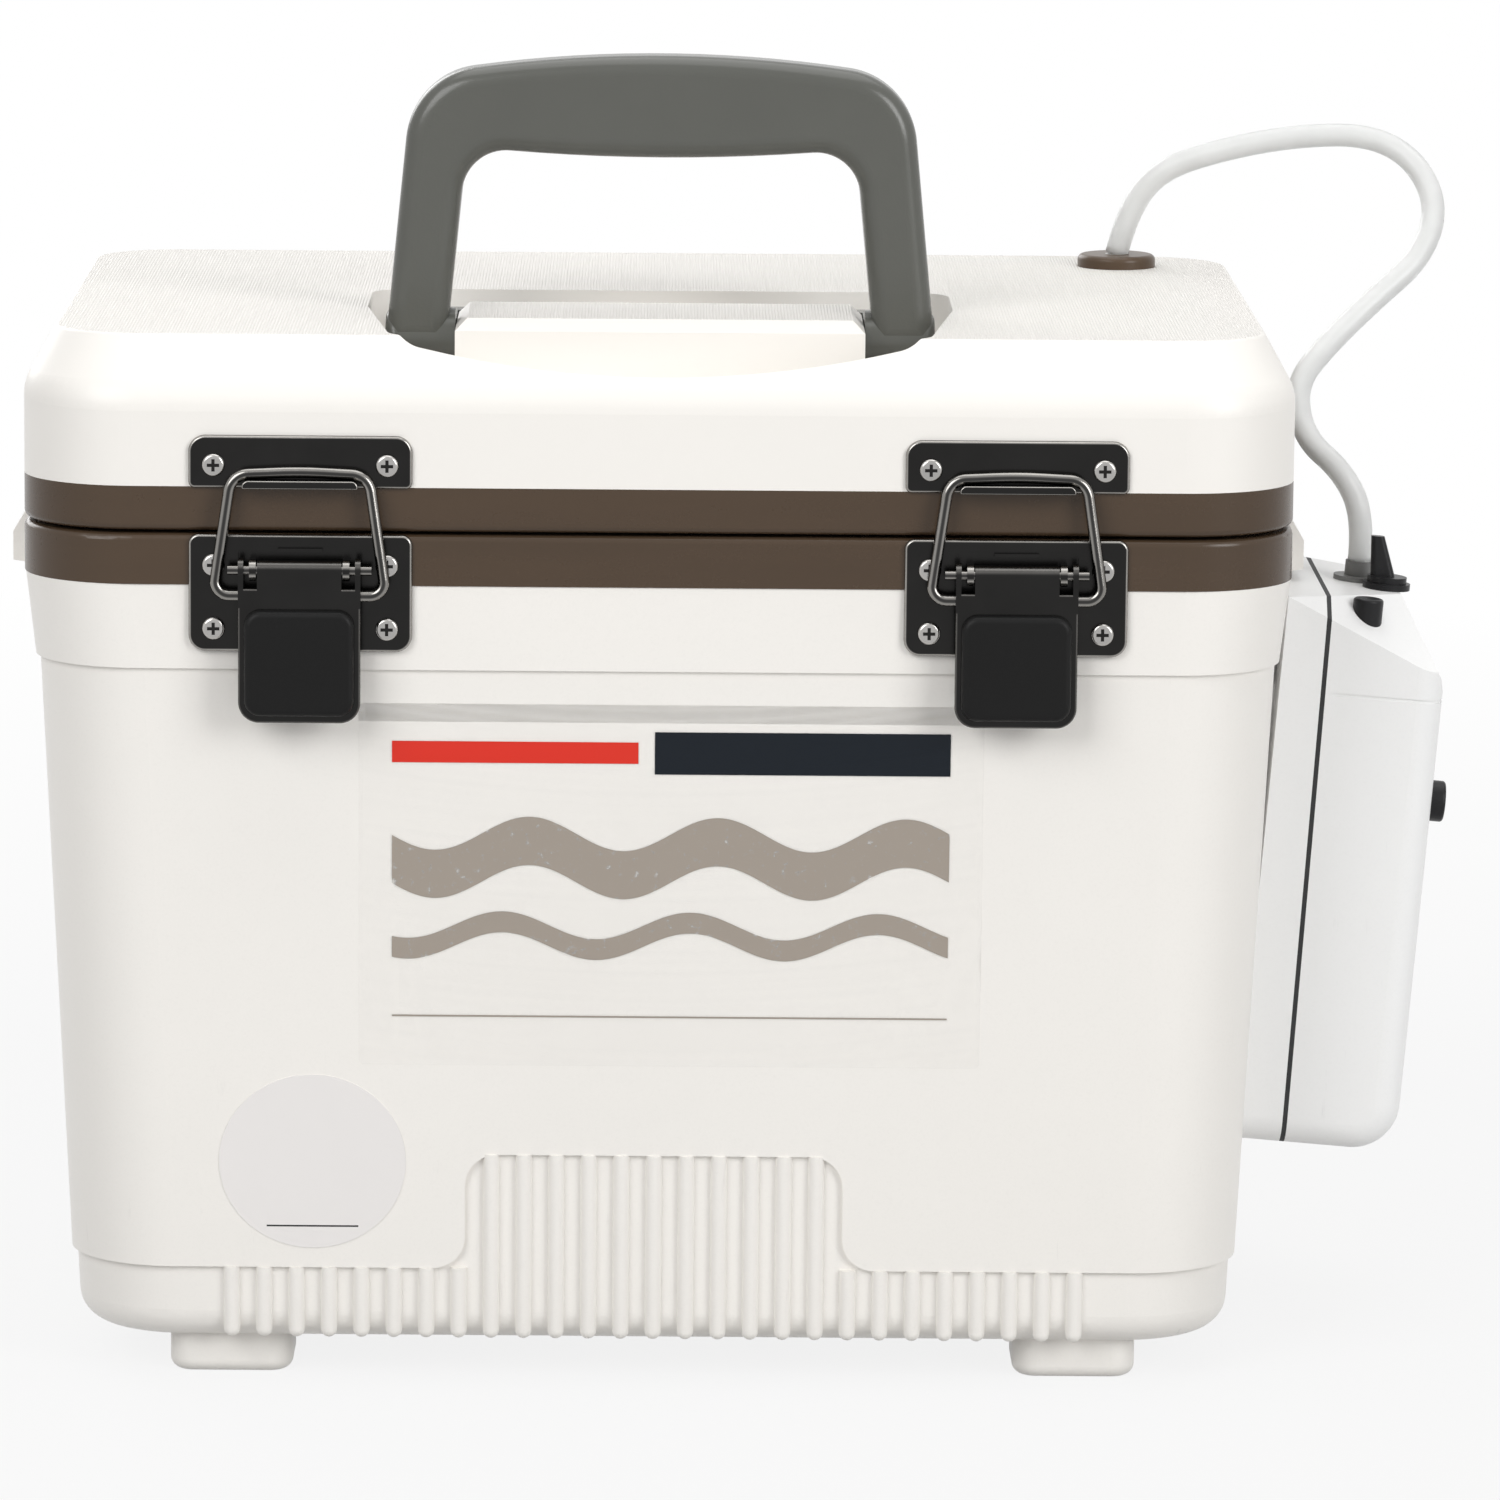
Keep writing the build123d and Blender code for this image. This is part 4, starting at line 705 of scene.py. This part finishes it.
# ---- Studio ------------------------------------------------------------------------------
CAMERA_PLACE = (-0.0179465, -2.10535, 0.495)
CAMERA_TILT = math.radians(80.5)
CAMERA_ROLL = math.radians(0.43)
# Each softbox's place, width and height, all turned to the bucket's middle
BUCKET_MIDDLE = (0.0, 0.0, 0.16)
SOFTBOXES = {
    "key": ((-1.3, -1.8, 1.5), 1.4, 1.4),
    "fill": ((1.7, -1.7, 1.1), 1.0, 1.4),
    "top": ((0.1, 0.2, 2.0), 1.8, 1.8),
    "rear": ((-1.2, 2.1, 1.2), 1.6, 1.4),
}
# The floor shows the camera this share of white round the bucket, and all white further off
FLOOR_HALF_SIZE = 8.0
NEAR_WHITE = 0.86
NEAR_RADIUS = 0.35
FADE_WIDTH = 0.9


def softbox(name, place, width, height, power):
    """A rectangular area light turned to the bucket."""
    data = bpy.data.lights.new(name, "AREA")
    data.shape = "RECTANGLE"
    data.size, data.size_y = width, height
    data.energy = power
    lamp = bpy.data.objects.new(name, data)
    bpy.context.scene.collection.objects.link(lamp)
    lamp.location = place
    aim = Vector(BUCKET_MIDDLE) - Vector(place)
    lamp.rotation_euler = aim.to_track_quat("-Z", "Y").to_euler()


class BUCKET_OT_stage(bpy.types.Operator):
    """Set up the camera, the pale floor and the soft studio lights"""
    bl_idname = "bait_bucket.stage"
    bl_label = "Studio"

    def execute(self, context):
        studio, scene = context.scene.bait_studio, context.scene
        scene.view_settings.view_transform = "Standard"
        self.make_camera(scene)
        self.make_floor(scene, tuple(studio.floor))
        self.make_world(scene, studio.surround)
        for name, (place, width, height) in SOFTBOXES.items():
            softbox(name, place, width, height, getattr(studio, f"{name}_power"))
        return {"FINISHED"}

    @staticmethod
    def make_camera(scene):
        data = bpy.data.cameras.new("camera")
        data.lens = 200.16
        data.sensor_width = 36.0
        data.shift_x = 0.062
        camera = bpy.data.objects.new("camera", data)
        scene.collection.objects.link(camera)
        tilt = Matrix.Rotation(CAMERA_TILT, 4, "X")
        roll = Matrix.Rotation(CAMERA_ROLL, 4, "Z")
        camera.matrix_world = Matrix.Translation(CAMERA_PLACE) @ tilt @ roll
        scene.camera = camera

    @staticmethod
    def make_floor(scene, tone):
        bm = bmesh.new()
        bmesh.ops.create_grid(bm, x_segments=2, y_segments=2, size=FLOOR_HALF_SIZE)
        mesh = bpy.data.meshes.new("floor")
        bm.to_mesh(mesh)
        bm.free()
        floor = bpy.data.objects.new("floor", mesh)
        scene.collection.objects.link(floor)
        paint = Paint("studio floor")
        diffuse = paint.node("ShaderNodeBsdfDiffuse", None, {"Color": tone})
        white = paint.node("ShaderNodeEmission", None, {"Color": (1, 1, 1), "Strength": 1.0})
        x, y, _ = paint.axes()
        far = ((x * x + y * y).root() - NEAR_RADIUS) / FADE_WIDTH
        share = paint.shown_white() * (NEAR_WHITE + (1 - NEAR_WHITE) * far.clamp())
        mixed = paint.node("ShaderNodeMixShader", None, {0: share, 1: diffuse, 2: white})
        mesh.materials.append(paint.finish(mixed))

    @staticmethod
    def make_world(scene, strength):
        surround = Surround(bpy.data.worlds.new("surround"))
        level = surround.node("ShaderNodeMapRange", None,
                              {"Value": surround.shown_white(), "To Min": strength, "To Max": 1.0})
        back = surround.node("ShaderNodeBackground", None,
                             {"Color": (1, 1, 1), "Strength": level})
        scene.world = surround.finish(back)


class BUCKET_PT_panel(bpy.types.Panel):
    """Lists the bucket's steps and settings"""
    bl_label = "Bait Bucket"
    bl_idname = "BUCKET_PT_panel"
    bl_space_type = "VIEW_3D"
    bl_region_type = "UI"
    bl_category = "Bait Bucket"

    def draw(self, context):
        for operator in OPERATORS:
            self.layout.operator(operator.bl_idname)
        for group in GROUPS:
            values = getattr(context.scene, group)
            for name in values.__annotations__:
                self.layout.prop(values, name)


GROUPS = {
    "bait_colours": BucketColours,
    "bait_air_line": AirLineSizes,
    "bait_studio": StudioSettings,
}
OPERATORS = (
    BUCKET_OT_stage, BUCKET_OT_air_line, BUCKET_OT_tub, BUCKET_OT_lid, BUCKET_OT_latches,
    BUCKET_OT_pump,
)


def register():
    for kind in (*GROUPS.values(), *OPERATORS, BUCKET_PT_panel):
        bpy.utils.register_class(kind)
    for name, kind in GROUPS.items():
        setattr(bpy.types.Scene, name, PointerProperty(type=kind))


def unregister():
    for name in GROUPS:
        delattr(bpy.types.Scene, name)
    for kind in reversed((*GROUPS.values(), *OPERATORS, BUCKET_PT_panel)):
        bpy.utils.unregister_class(kind)


def main():
    register()
    for operator in OPERATORS:
        category, name = operator.bl_idname.split(".")
        getattr(getattr(bpy.ops, category), name)()


if __name__ == "__main__":
    main()
